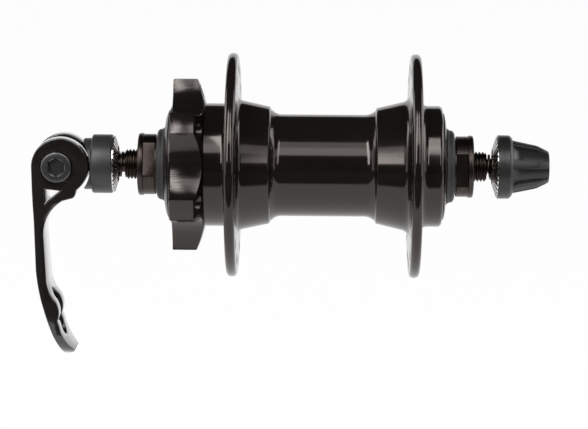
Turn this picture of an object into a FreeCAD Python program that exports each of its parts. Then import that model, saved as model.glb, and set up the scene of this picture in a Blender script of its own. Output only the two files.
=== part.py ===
import FreeCAD, Part
import math
import os
import re

import Sketcher
from FreeCAD import Placement, Rotation, Vector

# Disc brake front hub with a quick release skewer, in millimetres
# The axle lies along Y with the disc and the lever on the +Y side, and Z is up
# The origin is on the axle, midway between the outer faces of the locknuts

SIZES = [
    ("over_locknut", 100.0, "outer face to outer face of the locknuts, the fork's width"),
    ("fit_gap", 0.03, "radial gap between two pieces that are pressed or screwed together"),
    # Axle
    ("axle_dia", 9.0, "thread of the hollow axle"),
    ("axle_stick_out", 4.0, "axle past each locknut face"),
    ("axle_bore", 5.8, "bore that the skewer runs through"),
    ("axle_chamfer", 0.6, "chamfer on the axle's ends"),
    # Locknuts and washers
    ("locknut_thickness", 5.2, "locknut along the axle"),
    ("locknut_dia", 18.1, "round of the locknut's spanner part"),
    ("locknut_collar_dia", 18.6, "collar at the locknut's outer face"),
    ("locknut_collar", 1.6, "length of that collar"),
    ("locknut_flats", 15.0, "across the two spanner flats"),
    ("locknut_round", 0.5, "rounding of the outer face's edge"),
    ("left_flat_turn", 19.0, "degrees that the left locknut is turned"),
    ("right_flat_turn", -1.0, "degrees that the right locknut is turned"),
    ("washer_dia", 16.6, "lock washer between cone and locknut"),
    ("washer_thickness", 0.7, "lock washer along the axle"),
    # Bearings
    ("ball_dia", 4.7625, "bearing ball, three sixteenths of an inch"),
    ("ball_count", 10.0, "balls in each bearing"),
    ("ball_circle", 16.1, "circle that the balls' centres lie on"),
    ("ball_offset", 36.4, "hub centre to the plane of the balls' centres"),
    ("race_gap", 0.05, "ball to race"),
    ("cup_dia", 25.6, "outside of the pressed bearing cup"),
    ("cup_floor", 0.9, "cup wall behind the balls"),
    ("cup_lip", 2.7, "cup past the balls' centres"),
    ("cup_hole", 14.0, "hole in the cup's floor"),
    ("cone_dia", 17.0, "round shoulder of the cone"),
    ("cone_nose", 1.8, "cone past the balls' centres, inwards"),
    ("cage_inner_dia", 17.9, "inside of the ball cage"),
    ("cage_outer_dia", 20.3, "outside of the ball cage"),
    ("cage_start", 0.6, "balls' centres to the tips of the cage's fingers"),
    ("cage_web", 0.5, "cage ring past the balls"),
    ("cage_gap", 0.09, "ball to cage pocket"),
    # Seals
    ("left_seal_dia", 22.6, "rubber seal on the left cone"),
    ("right_seal_dia", 23.0, "rubber seal on the right cone"),
    ("seal_gap", 0.2, "seal to dust cap"),
    ("seal_inset", 0.4, "seal to locknut"),
    ("seal_taper", 0.7, "how far the seal's rim draws in towards the locknut"),
    ("seal_round", 1.5, "rounding of the seal's outer corner"),
    ("left_cap_dia", 32.8, "flange of the left dust cap"),
    ("right_cap_dia", 32.0, "flange of the right dust cap"),
    ("left_cap_flange", 1.5, "left dust cap past the shell's end"),
    ("right_cap_flange", 1.05, "right dust cap past the shell's end"),
    ("dust_cap_rim", 0.45, "straight rim of the dust cap's flange"),
    ("dust_cap_dome", 3.8, "domed part of the flange, across"),
    ("dust_cap_to_cage", 0.3, "dust cap to the ball cage"),
    ("dust_cap_bore_gap", 0.5, "dust cap to cone"),
    # Rotor mount
    ("rotor_face", 39.6, "hub centre to the face that the brake disc sits on"),
    ("register_dia", 34.9, "register that centres the brake disc"),
    ("register_height", 0.7, "register past the rotor face"),
    ("lobe_dia", 51.4, "circle through the tips of the lobes"),
    ("lobe_thickness", 7.2, "lobes along the axle"),
    ("lobe_back", 2.8, "cone behind the lobes"),
    ("lobe_count", 6.0, "lobes, each with one bolt hole"),
    ("scallop_circle", 66.0, "circle that the centres of the hollows between the lobes lie on"),
    ("bolt_wall", 2.16, "metal between a bolt hole and the hollow beside it"),
    ("mount_turn", 6.5, "degrees that the hollows are turned from level"),
    ("rotor_bolt_circle", 44.0, "circle of the brake disc's bolts"),
    ("rotor_thread_bore", 4.2, "core hole of the bolt threads"),
    ("neck_dia", 36.8, "neck between rotor mount and left flange"),
    # Flanges
    ("flange_dia", 67.0, "spoke flange"),
    ("flange_thickness", 3.1, "spoke flange along the axle"),
    ("left_flange", 21.8, "hub centre to the left flange"),
    ("right_flange", 32.6, "hub centre to the right flange"),
    ("rim_round", 1.1, "rounding of the flanges' rims"),
    ("root_round", 1.5, "hollow rounding at the flanges' roots"),
    ("spoke_edge", 4.5, "spoke hole's centre to the flange's rim"),
    ("spoke_hole", 2.6, "spoke hole"),
    ("spokes_per_side", 16.0, "spoke holes in each flange"),
    # Barrel and shoulders
    ("barrel_dia", 30.5, "barrel between the shoulders"),
    ("left_root_dia", 39.2, "left shoulder at the flange"),
    ("left_shoulder_dia", 35.1, "left shoulder at its small end"),
    ("left_shoulder", 8.0, "left shoulder's taper along the axle"),
    ("right_root_dia", 39.4, "right shoulder at the flange"),
    ("right_shoulder_dia", 34.6, "right shoulder at its small end"),
    ("right_shoulder", 8.6, "right shoulder's taper along the axle"),
    ("shoulder_step", 1.6, "rounded step down to the barrel"),
    ("collar_dia", 36.2, "collar outside the right flange"),
    ("collar_end", 40.7, "hub centre to the collar's end"),
    ("collar_round", 1.2, "rounding of the collar's end"),
    ("collar_root_round", 2.2, "hollow rounding between collar and flange"),
    ("shell_bore", 21.0, "bore through the shell"),
    # Skewer
    ("rod_dia", 5.0, "skewer rod"),
    ("rod_end", 71.4, "hub centre to the rod's threaded end"),
    ("eye_dia", 10.4, "eye at the lever end of the rod"),
    ("eye_width", 5.0, "eye across"),
    ("pin_gap", 0.06, "radial gap of the lever's pivot"),
    # Skewer cap on the lever side
    ("left_grip", 56.15, "hub centre to the inner edge of the serrated ring on the lever side"),
    ("cap_dia", 17.6, "cap"),
    ("cap_length", 6.25, "cap's wide part along the axle"),
    ("cap_neck_dia", 15.4, "neck of the cap"),
    ("cap_neck", 3.1, "neck along the axle"),
    ("cap_chamfer", 0.7, "chamfer at the cap's rims"),
    ("cap_end_chamfer", 1.2, "chamfer at the neck's end, across"),
    ("saddle_radius", 12.0, "hollow that the lever's cam rests in"),
    ("saddle_gap", 0.45, "closed cam to saddle"),
    ("rod_gap", 0.3, "radial gap between the rod and the pieces it runs through"),
    ("cap_grip_dia", 16.8, "serrated ring on the lever side"),
    ("nut_grip_dia", 18.2, "serrated ring on the nut side"),
    ("grip_ring_bore", 10.8, "serrated rings' bore, with room for the spring"),
    ("grip_ring_lean", 18.0, "degrees that the serrated faces lean back towards their rims"),
    ("grip_ring_proud", 1.5, "serrated ring past the cap or nut"),
    ("grip_ring_spigot_dia", 13.4, "ring's spigot"),
    ("grip_ring_spigot", 1.4, "spigot inside the cap or nut"),
    ("serration_count", 24.0, "grooves in each serrated face"),
    ("serration_depth", 0.4, "depth of those grooves"),
    ("serration_width", 0.9, "width of those grooves"),
    # Springs
    ("spring_wire", 0.8, "spring wire"),
    ("spring_small", 6.6, "mean diameter at the axle's end"),
    ("spring_large", 8.6, "mean diameter in the cap or nut"),
    ("spring_turns", 3.0, "turns of each spring"),
    ("spring_seat_gap", 0.05, "spring to each seat"),
    # Lever
    ("pivot", 74.1, "hub centre to the lever's pivot"),
    ("cam_throw", 1.0, "pivot to the centre of the cam"),
    ("cam_dia", 17.1, "round cam cheeks of the lever"),
    ("head_width", 15.0, "lever's head across both cheeks"),
    ("head_drop", 10.8, "pivot down to where the arm starts to narrow"),
    ("eye_side_gap", 0.15, "eye to each cheek"),
    ("eye_floor_gap", 0.4, "eye to the floor of the slot between the cheeks"),
    ("pin_dia", 6.4, "shank of the pivot screw"),
    ("screw_head_dia", 9.2, "head of the pivot screw"),
    ("screw_head", 2.6, "height of that head"),
    ("screw_head_sunk", 1.5, "depth of the head in the cheek"),
    ("screw_socket", 5.0, "across flats of the hexagon socket"),
    ("screw_socket_depth", 2.2, "depth of the socket"),
    ("pivot_nut_flats", 9.0, "across flats of the pivot nut"),
    ("pivot_nut_height", 2.6, "height of the pivot nut"),
    ("arm_top", 7.4, "pivot to the arm's outer face, at the head"),
    ("arm_edge", 0.15, "how far that face stands out more beside the pivot"),
    ("arm_root_drop", 7.0, "pivot down to the arm's upper end"),
    ("arm_thickness", 2.9, "arm, from outer to inner face"),
    ("arm_straight", 31.3, "pivot down to where the arm starts to curl"),
    ("arm_lean", 0.95, "how far the straight arm leans towards the hub"),
    ("arm_bend", 60.0, "radius of the arm's bend down to the knee"),
    ("knee_drop", 43.0, "pivot down to the knee of the curl"),
    ("knee_reach", 4.25, "knee past the pivot, outwards"),
    ("paddle_bend", 75.0, "radius of the paddle's outer face"),
    ("tip_drop", 58.1, "pivot down to the tip"),
    ("tip_reach", 2.6, "tip past the pivot, towards the hub"),
    ("tip_round", 1.6, "rounding of the tip's outer corner"),
    ("tip_slope", 1.3, "that corner across"),
    ("tip_rise", 0.9, "that corner's height"),
    ("tip_thickness", 2.0, "tip's end face across"),
    ("tip_tilt", 1.1, "how much higher the end face's inner edge lies"),
    ("tip_lip", 0.3, "rounding of the tip's inner corner, across"),
    ("paddle_hollow", 14.0, "radius of the paddle's inner face below the bump"),
    ("bump_foot_drop", 48.4, "pivot down to the lower foot of the finger bump"),
    ("bump_foot_reach", 0.6, "that foot past the pivot, towards the hub"),
    ("bump_notch_drop", 46.9, "pivot down to the notch under the bump"),
    ("bump_round", 6.5, "radius of the bump"),
    ("bump_top_drop", 40.7, "pivot down to the bump's upper end"),
    ("bump_top_reach", 0.6, "that end past the pivot, outwards"),
    ("bump_hollow", 11.0, "radius of the hollow between arm and bump"),
    ("bump_start_drop", 35.0, "pivot down to where the bump starts"),
    ("bump_start_reach", 3.2, "that place past the pivot, outwards"),
    ("arm_inner_drop", 22.0, "pivot down to where the arm's inner face starts to bend"),
    ("arm_inner_bend", 12.0, "radius of that bend"),
    ("heel_reach", 1.7, "heel under the cam past the pivot, towards the hub"),
    ("heel_drop", 10.3, "pivot down to the heel"),
    ("heel_length", 2.6, "heel along the axle"),
    ("heel_rise", 0.7, "how much higher the heel's far end lies"),
    ("heel_round", 1.6, "rounding of the heel's corner"),
    ("heel_end_reach", 5.6, "end of that corner past the pivot, towards the hub"),
    ("heel_end_drop", 8.4, "pivot down to the end of that corner"),
    ("heel_top_reach", 6.1, "heel's join with the cam past the pivot"),
    ("heel_top_drop", 6.4, "pivot down to that join"),
    ("arm_width", 13.4, "arm across, at its slimmest"),
    ("paddle_width", 17.0, "paddle across"),
    ("waist_drop", 17.0, "pivot down to the arm's slimmest place"),
    ("paddle_drop", 40.7, "pivot down to where the paddle is at its widest"),
    ("paddle_point", 7.0, "rounded end of the paddle, along it"),
    ("paddle_end_round", 9.1, "radius of that rounded end"),
    ("paddle_slot_top", 37.7, "pivot down to the top of the paddle's slot"),
    ("paddle_slot_end", 52.6, "pivot down to the slot's end"),
    ("paddle_slot", 6.4, "slot across"),
    ("window_outer", 3.6, "window through the head, its edge beside the arm, past the pivot"),
    ("window_inner", 1.0, "window's inner corner past the pivot, towards the hub"),
    ("window_top", 6.75, "pivot down to the window's upper corner"),
    ("window_inner_drop", 7.25, "pivot down to the window's inner corner"),
    ("window_foot", 11.35, "pivot down to the window's lower corner"),
    ("trim_room", 9.0, "stock cut away past the paddle"),
    # Adjusting nut
    ("right_grip", 55.75, "hub centre to the inner edge of the serrated ring on the nut side"),
    ("nut_ring_dia", 19.0, "base ring of the nut"),
    ("nut_ring", 4.4, "base ring along the axle"),
    ("nut_ring_chamfer", 1.0, "chamfer at the base ring's outer rim"),
    ("nut_waist_dia", 16.4, "ridges beside the base ring"),
    ("nut_neck_dia", 13.2, "ridges at their outer end"),
    ("nut_body", 7.5, "ridges along the axle"),
    ("nut_tip_dia", 9.6, "nut's flat end"),
    ("nut_tip", 3.5, "chamfered end along the axle"),
    ("nut_flutes", 6.0, "flutes round the nut"),
    ("nut_turned", 16.0, "degrees that the nut is turned"),
    ("flute_angle", 39.0, "degrees that each flute takes"),
    ("flute_scoop", 3.4, "rounded start of a flute along the axle"),
    ("flute_scoop_round", 6.0, "radius of that start"),
    ("flute_start_dia", 12.4, "floor of the flutes past that start"),
    ("flute_neck_dia", 10.4, "floor of the flutes near the nut's end"),
    ("flute_neck", 1.05, "ridges' outer end to that place"),
    ("flute_end_dia", 9.0, "floor of the flutes at the nut's end"),
    ("insert_dia", 8.6, "threaded insert in the nut"),
    ("insert_length", 12.0, "insert along the axle"),
    ("thread_gap", 0.06, "radial gap between rod and insert"),
    ("lock_ring", 1.4, "nylon ring along the axle"),
]

ALONG_AXLE = Vector(0, 1, 0)
TURNED_ROUND = Rotation(Vector(0, 0, 1), 180)
UPRIGHT = Rotation()

doc = FreeCAD.newDocument("disc_brake_hub")
sheet = doc.addObject("Spreadsheet::Sheet", "Sizes")
for row, (name, number, meaning) in enumerate(SIZES, 1):
    sheet.set("A%d" % row, name)
    sheet.set("B%d" % row, str(number))
    sheet.set("C%d" % row, meaning)
    sheet.setAlias("B%d" % row, name)
doc.recompute()

pieces = []


def value(formula):
    """The number that a formula of named sizes gives now."""
    return float(sheet.evalExpression(str(formula)))


def bound(formula):
    """The same formula as an expression that follows the sheet."""
    return re.sub(r"\b([a-z]\w*)\b(?!\()", r"Sizes.\1", str(formula))


# Features shared by the pieces


def new_body(label, spot=UPRIGHT):
    body = doc.addObject("PartDesign::Body", label)
    body.Label = label
    body.Placement = Placement(Vector(0, 0, 0), spot)
    pieces.append(body)
    return body


def origin_item(body, role):
    return [item for item in body.Origin.OriginFeatures if item.Role == role][0]


def arc_between(start, end, radius):
    """An arc from start to end: a positive radius bulges to the right of the way along."""
    chord = end - start
    half = chord.Length / 2
    rise = math.sqrt(max(radius * radius - half * half, 0.0))
    left = Vector(-chord.y, chord.x, 0).normalize()
    centre = start + chord / 2 + left * math.copysign(rise, radius)
    first, last = (start, end) if radius > 0 else (end, start)
    circle = Part.Circle(centre, Vector(0, 0, 1), abs(radius))
    return Part.ArcOfCircle(circle, circle.parameter(first), circle.parameter(last))


def new_sketch(body, label, plane, offset=None):
    sketch = body.newObject("Sketcher::SketchObject", label)
    sketch.AttachmentSupport = [(origin_item(body, plane), "")]
    sketch.MapMode = "FlatFace"
    if offset is not None:
        sketch.AttachmentOffset = Placement(Vector(0, 0, value(offset)), Rotation())
        sketch.setExpression("AttachmentOffset.Base.z", bound(offset))
    return sketch


def lean_sketch(sketch, shift, offset, lean):
    """Moves a sketch across and along its plane's normal, and leans it about its upright axis."""
    leaned = Rotation(Vector(0, 1, 0), value(lean))
    sketch.AttachmentOffset = Placement(Vector(value(shift), 0, value(offset)), leaned)
    sketch.setExpression("AttachmentOffset.Base.x", bound(shift))
    sketch.setExpression("AttachmentOffset.Base.z", bound(offset))
    sketch.setExpression("AttachmentOffset.Rotation.Angle", bound(lean))


def hold(sketch, kind, *facts):
    """Adds a constraint whose last fact is a formula, and binds it to the sheet."""
    number = sketch.addConstraint(Sketcher.Constraint(kind, *facts[:-1], value(facts[-1])))
    sketch.setExpression("Constraints[%d]" % number, bound(facts[-1]))


def draw_loop(sketch, corners):
    """A closed loop through corners (across, along), or (across, along, radius of the next edge)."""
    spots = [Vector(value(corner[0]), value(corner[1]), 0) for corner in corners]
    base = sketch.GeometryCount
    ends = []
    for index, corner in enumerate(corners):
        start = spots[index]
        end = spots[(index + 1) % len(spots)]
        if len(corner) == 3:
            radius = value(corner[2])
            sketch.addGeometry(arc_between(start, end, radius))
            ends.append((1, 2) if radius > 0 else (2, 1))
        else:
            sketch.addGeometry(Part.LineSegment(start, end))
            ends.append((1, 2))
    for index, corner in enumerate(corners):
        after = (index + 1) % len(corners)
        sketch.addConstraint(
            Sketcher.Constraint("Coincident", base + index, ends[index][1], base + after, ends[after][0])
        )
        hold(sketch, "DistanceX", -1, 1, base + index, ends[index][0], corner[0])
        hold(sketch, "DistanceY", -1, 1, base + index, ends[index][0], corner[1])
        if len(corner) == 3:
            hold(sketch, "Radius", base + index, "abs(%s)" % corner[2])


def draw_circle(sketch, across, along, dia):
    circle = Part.Circle(Vector(value(across), value(along), 0), Vector(0, 0, 1), value(dia) / 2)
    number = sketch.addGeometry(circle)
    hold(sketch, "DistanceX", -1, 1, number, 3, across)
    hold(sketch, "DistanceY", -1, 1, number, 3, along)
    hold(sketch, "Radius", number, "%s / 2" % dia)


def turned(body, label, corners):
    """A solid turned about the axle from its half section."""
    sketch = new_sketch(body, label + "_section", "XY_Plane")
    draw_loop(sketch, corners)
    feature = body.newObject("PartDesign::Revolution", label)
    feature.Profile = sketch
    feature.ReferenceAxis = (sketch, ["V_Axis"])
    feature.Angle = 360
    return feature


def padded(body, label, sketch, length):
    feature = body.newObject("PartDesign::Pad", label)
    feature.Profile = sketch
    feature.SideType = "Symmetric"
    feature.Length = value(length)
    feature.setExpression("Length", bound(length))
    return feature


def cut_through(body, label, sketch, both=False, back=False, depth=None):
    """A pocket that has to remove something, or the build stops."""
    doc.recompute()
    before = body.Shape.Volume
    feature = body.newObject("PartDesign::Pocket", label)
    feature.Profile = sketch
    feature.Reversed = back
    if both:
        feature.SideType = "Symmetric"
    if depth is None:
        feature.Type = "ThroughAll"
    else:
        feature.Length = value(depth)
        feature.setExpression("Length", bound(depth))
    doc.recompute()
    if not feature.Shape.Volume < before:
        raise RuntimeError("%s of %s cuts nothing" % (label, body.Label))
    return feature


def ring_of(body, label, feature, count, axis="Y_Axis"):
    pattern = body.newObject("PartDesign::PolarPattern", label)
    pattern.Originals = [feature]
    pattern.Axis = (origin_item(body, axis), [""])
    pattern.Angle = 360
    pattern.Occurrences = int(value(count))
    pattern.setExpression("Occurrences", bound(count))
    body.Tip = pattern
    return pattern


def hexagon(flats):
    """Corners of a hexagon with one corner pointing down."""
    reach = "%s / 2 / cos(30)" % flats
    return [("%s * sin(%d)" % (reach, 60 * k), "-%s * cos(%d)" % (reach, 60 * k)) for k in range(6)]


def side_turn(side):
    return UPRIGHT if side == "left" else TURNED_ROUND


# Axle group: it stands still in the fork


def build_axle():
    body = new_body("axle")
    radius = "axle_dia / 2"
    end = "over_locknut / 2 + axle_stick_out"
    bevel = "axle_dia / 2 - axle_chamfer"
    turned(body, "axle_tube", [
        ("axle_bore / 2", "-(%s)" % end),
        (bevel, "-(%s)" % end),
        (radius, "-(%s) + axle_chamfer" % end),
        (radius, "%s - axle_chamfer" % end),
        (bevel, end),
        ("axle_bore / 2", end),
    ])


LOCKNUT_IN = "over_locknut / 2 - locknut_thickness"
CONE_OUT = "over_locknut / 2 - locknut_thickness - washer_thickness"
ON_AXLE = "axle_dia / 2 + fit_gap"


def build_locknut(side):
    turn = value("%s_flat_turn" % side)
    body = new_body("%s_locknut" % side, Rotation(ALONG_AXLE, turn).multiply(side_turn(side)))
    face = "over_locknut / 2"
    turned(body, "%s_locknut_round" % side, [
        (ON_AXLE, LOCKNUT_IN),
        ("locknut_dia / 2", LOCKNUT_IN),
        ("locknut_dia / 2", "%s - locknut_collar" % face),
        ("locknut_collar_dia / 2", "%s - locknut_collar" % face),
        ("locknut_collar_dia / 2", "%s - locknut_round" % face, "locknut_round"),
        ("locknut_collar_dia / 2 - locknut_round", face),
        (ON_AXLE, face),
    ])
    sketch = new_sketch(body, "%s_flats" % side, "XZ_Plane", "-(%s - locknut_collar)" % face)
    for sign in ("", "-"):
        draw_loop(sketch, [
            ("%slocknut_flats / 2" % sign, "-locknut_dia"),
            ("%slocknut_dia" % sign, "-locknut_dia"),
            ("%slocknut_dia" % sign, "locknut_dia"),
            ("%slocknut_flats / 2" % sign, "locknut_dia"),
        ])
    cut_through(body, "%s_spanner_flats" % side, sketch, back=True)


def build_washer(side):
    body = new_body("%s_lock_washer" % side, side_turn(side))
    turned(body, "%s_washer_ring" % side, [
        (ON_AXLE, CONE_OUT),
        ("washer_dia / 2", CONE_OUT),
        ("washer_dia / 2", LOCKNUT_IN),
        (ON_AXLE, LOCKNUT_IN),
    ])


BALL_ROOM = "ball_dia / 2 + race_gap"


def build_cone(side):
    body = new_body("%s_cone" % side, side_turn(side))
    waist = "ball_circle / 2 - (%s)" % BALL_ROOM
    turned(body, "%s_cone_race" % side, [
        (ON_AXLE, "ball_offset - cone_nose"),
        (waist, "ball_offset - cone_nose"),
        (waist, "ball_offset", "-(%s)" % BALL_ROOM),
        ("ball_circle / 2", "ball_offset + %s" % BALL_ROOM),
        ("cone_dia / 2", "ball_offset + %s" % BALL_ROOM),
        ("cone_dia / 2", CONE_OUT),
        (ON_AXLE, CONE_OUT),
    ])


SEAL_OUT = "over_locknut / 2 - locknut_thickness - seal_inset"
SHELL_LEFT = "(rotor_face + register_height)"


def shell_end(side):
    return SHELL_LEFT if side == "left" else "collar_end"


def build_seal(side):
    body = new_body("%s_cone_seal" % side, side_turn(side))
    rim = "%s_seal_dia / 2" % side
    inner = "%s + %s_cap_flange + seal_gap" % (shell_end(side), side)
    turned(body, "%s_seal_ring" % side, [
        ("cone_dia / 2 + fit_gap", inner),
        (rim, inner),
        ("%s - seal_taper" % rim, "%s - seal_round" % SEAL_OUT, "seal_round"),
        ("%s - seal_taper - seal_round" % rim, SEAL_OUT),
        ("cone_dia / 2 + fit_gap", SEAL_OUT),
    ])


# Hub shell: one forging, turned and drilled

CUP_IN = "(ball_offset - ball_dia / 2 - race_gap - cup_floor)"


def shell_section():
    left_out = "left_flange + flange_thickness / 2"
    left_in = "left_flange - flange_thickness / 2"
    right_in = "-right_flange + flange_thickness / 2"
    right_out = "-right_flange - flange_thickness / 2"
    rim = "flange_dia / 2"
    left_small = "%s - root_round - left_shoulder" % left_in
    right_small = "%s + root_round + right_shoulder" % right_in
    mount_back = "rotor_face - lobe_thickness - lobe_back"
    return [
        ("cup_dia / 2", SHELL_LEFT),
        ("register_dia / 2", SHELL_LEFT),
        ("register_dia / 2", "rotor_face"),
        ("lobe_dia / 2", "rotor_face"),
        ("lobe_dia / 2", "rotor_face - lobe_thickness"),
        ("neck_dia / 2", mount_back),
        ("neck_dia / 2", "%s + root_round" % left_out, "root_round"),
        ("neck_dia / 2 + root_round", left_out),
        ("%s - rim_round" % rim, left_out, "-rim_round"),
        (rim, "%s - rim_round" % left_out),
        (rim, "%s + rim_round" % left_in, "-rim_round"),
        ("%s - rim_round" % rim, left_in),
        ("left_root_dia / 2 + root_round", left_in, "root_round"),
        ("left_root_dia / 2", "%s - root_round" % left_in),
        ("left_shoulder_dia / 2", left_small),
        ("barrel_dia / 2", "%s - shoulder_step" % left_small),
        ("barrel_dia / 2", "%s + shoulder_step" % right_small),
        ("right_shoulder_dia / 2", right_small),
        ("right_root_dia / 2", "%s + root_round" % right_in, "root_round"),
        ("right_root_dia / 2 + root_round", right_in),
        ("%s - rim_round" % rim, right_in, "-rim_round"),
        (rim, "%s - rim_round" % right_in),
        (rim, "%s + rim_round" % right_out, "-rim_round"),
        ("%s - rim_round" % rim, right_out),
        ("collar_dia / 2 + collar_root_round", right_out, "collar_root_round"),
        ("collar_dia / 2", "%s - collar_root_round" % right_out),
        ("collar_dia / 2", "-collar_end + collar_round", "-collar_round"),
        ("collar_dia / 2 - collar_round", "-collar_end"),
        ("cup_dia / 2", "-collar_end"),
        ("cup_dia / 2", "-" + CUP_IN),
        ("shell_bore / 2", "-" + CUP_IN),
        ("shell_bore / 2", CUP_IN),
        ("cup_dia / 2", CUP_IN),
    ]


def scallop_dia():
    """The hollow's round, which leaves the wall of metal beside the bolt holes."""
    bolt = "rotor_bolt_circle / 2"
    hollow = "scallop_circle / 2"
    squares = "%s * %s + %s * %s" % (bolt, bolt, hollow, hollow)
    apart = "sqrt(%s - 2 * %s * %s * cos(180 / lobe_count))" % (squares, bolt, hollow)
    return "(2 * (%s - rotor_thread_bore / 2 - bolt_wall))" % apart


def build_shell():
    body = new_body("hub_shell")
    turned(body, "shell_blank", shell_section())
    mount_back = "-(rotor_face - lobe_thickness - lobe_back)"
    sketch = new_sketch(body, "scallop_round", "XZ_Plane", mount_back)
    draw_circle(
        sketch,
        "scallop_circle / 2 * cos(mount_turn)",
        "-scallop_circle / 2 * sin(mount_turn)",
        scallop_dia(),
    )
    scallop = cut_through(body, "scallop", sketch)
    ring_of(body, "scallops", scallop, "lobe_count")
    sketch = new_sketch(body, "rotor_bolt_round", "XZ_Plane", mount_back)
    middle = "180 / lobe_count - mount_turn"
    draw_circle(
        sketch,
        "rotor_bolt_circle / 2 * cos(%s)" % middle,
        "rotor_bolt_circle / 2 * sin(%s)" % middle,
        "rotor_thread_bore",
    )
    bolt = cut_through(body, "rotor_bolt_hole", sketch)
    ring_of(body, "rotor_bolt_holes", bolt, "lobe_count")
    for side, back, turn in (("left", False, "0"), ("right", True, "180 / spokes_per_side")):
        sketch = new_sketch(body, "%s_spoke_round" % side, "XZ_Plane")
        draw_circle(
            sketch,
            "(flange_dia / 2 - spoke_edge) * cos(%s)" % turn,
            "(flange_dia / 2 - spoke_edge) * sin(%s)" % turn,
            "spoke_hole",
        )
        hole = cut_through(body, "%s_spoke_hole" % side, sketch, back=back)
        ring_of(body, "%s_spoke_holes" % side, hole, "spokes_per_side")


def build_cup(side):
    body = new_body("%s_bearing_cup" % side, side_turn(side))
    outside = "cup_dia / 2 - fit_gap"
    rim = "ball_offset + cup_lip"
    turned(body, "%s_cup_race" % side, [
        ("cup_hole / 2", CUP_IN + " + fit_gap"),
        (outside, CUP_IN + " + fit_gap"),
        (outside, rim),
        ("ball_circle / 2 + %s" % BALL_ROOM, rim),
        ("ball_circle / 2 + %s" % BALL_ROOM, "ball_offset", "-(%s)" % BALL_ROOM),
        ("ball_circle / 2", "ball_offset - (%s)" % BALL_ROOM),
        ("cup_hole / 2", "ball_offset - (%s)" % BALL_ROOM),
    ])


CAGE_OUT = "(ball_offset + ball_dia / 2 + cage_gap + cage_web)"


def build_dust_cap(side):
    body = new_body("%s_dust_cap" % side, side_turn(side))
    end = shell_end(side)
    rim = "%s_cap_dia / 2" % side
    bore = "cone_dia / 2 + dust_cap_bore_gap"
    outer = "%s + %s_cap_flange" % (end, side)
    spigot = "cup_dia / 2 - fit_gap"
    rise = "(%s_cap_flange - dust_cap_rim)" % side
    dome = "(dust_cap_dome * dust_cap_dome + %s * %s) / (2 * %s)" % (rise, rise, rise)
    turned(body, "%s_dust_cap_ring" % side, [
        (bore, CAGE_OUT + " + dust_cap_to_cage"),
        (spigot, CAGE_OUT + " + dust_cap_to_cage"),
        (spigot, end),
        (rim, end),
        (rim, "%s + dust_cap_rim" % end, dome),
        ("%s - dust_cap_dome" % rim, outer),
        (bore, outer),
    ])


# Balls and the cages that carry them


def ball_spots():
    """Centres of the balls of the left bearing, as (x, z) formulas."""
    step = 360.0 / value("ball_count")
    reach = "ball_circle / 2"
    return [("%s * cos(%s)" % (reach, k * step), "%s * sin(%s)" % (reach, k * step))
            for k in range(int(value("ball_count")))]


def build_balls(side):
    toward = "ball_offset" if side == "left" else "-ball_offset"
    balls = []
    for number, (across, up) in enumerate(ball_spots()):
        ball = doc.addObject("Part::Sphere", "%s_ball_%d" % (side, number))
        ball.Radius = value("ball_dia") / 2
        ball.setExpression("Radius", bound("ball_dia / 2"))
        ball.Placement = Placement(Vector(value(across), value(toward), value(up)), UPRIGHT)
        ball.setExpression("Placement.Base.x", bound(across))
        ball.setExpression("Placement.Base.y", bound(toward))
        ball.setExpression("Placement.Base.z", bound(up))
        balls.append(ball)
    group = doc.addObject("Part::Compound", "%s_balls" % side)
    group.Label = "%s_balls" % side
    group.Links = balls
    pieces.append(group)


def build_cage(side):
    body = new_body("%s_ball_cage" % side, side_turn(side))
    start = "ball_offset + cage_start"
    turned(body, "%s_cage_ring" % side, [
        ("cage_inner_dia / 2", start),
        ("cage_outer_dia / 2", start),
        ("cage_outer_dia / 2", CAGE_OUT),
        ("cage_inner_dia / 2", CAGE_OUT),
    ])
    doc.recompute()
    pocket = body.newObject("PartDesign::SubtractiveSphere", "%s_ball_pocket" % side)
    pocket.Radius = value("ball_dia / 2 + cage_gap")
    pocket.setExpression("Radius", bound("ball_dia / 2 + cage_gap"))
    pocket.Placement = Placement(Vector(value("ball_circle / 2"), value("ball_offset"), 0), UPRIGHT)
    pocket.setExpression("Placement.Base.x", bound("ball_circle / 2"))
    pocket.setExpression("Placement.Base.y", bound("ball_offset"))
    doc.recompute()
    ring_of(body, "%s_ball_pockets" % side, pocket, "ball_count")


# Quick release skewer


def serrate(body, label, grip):
    """Radial V grooves that start inside the bore and follow the lean of the serrated face."""
    sketch = new_sketch(body, label + "_groove", "YZ_Plane")
    inner_edge = "%s - serration_depth * sin(grip_ring_lean)" % grip
    inner_radius = "grip_ring_bore / 2 - serration_depth * cos(grip_ring_lean)"
    lean_sketch(sketch, inner_edge, inner_radius, "grip_ring_lean")
    draw_loop(sketch, [
        ("serration_depth", "0"),
        ("-serration_depth", "-serration_width"),
        ("-serration_depth", "serration_width"),
    ])
    groove = cut_through(body, label + "_cut", sketch, back=True)
    ring_of(body, label, groove, "serration_count")


def grip_rim(side, grip):
    """Distance along the axle of a serrated face's outer edge."""
    return "%s + (%s_grip_dia - grip_ring_bore) / 2 * tan(grip_ring_lean)" % (grip, side)


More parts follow.
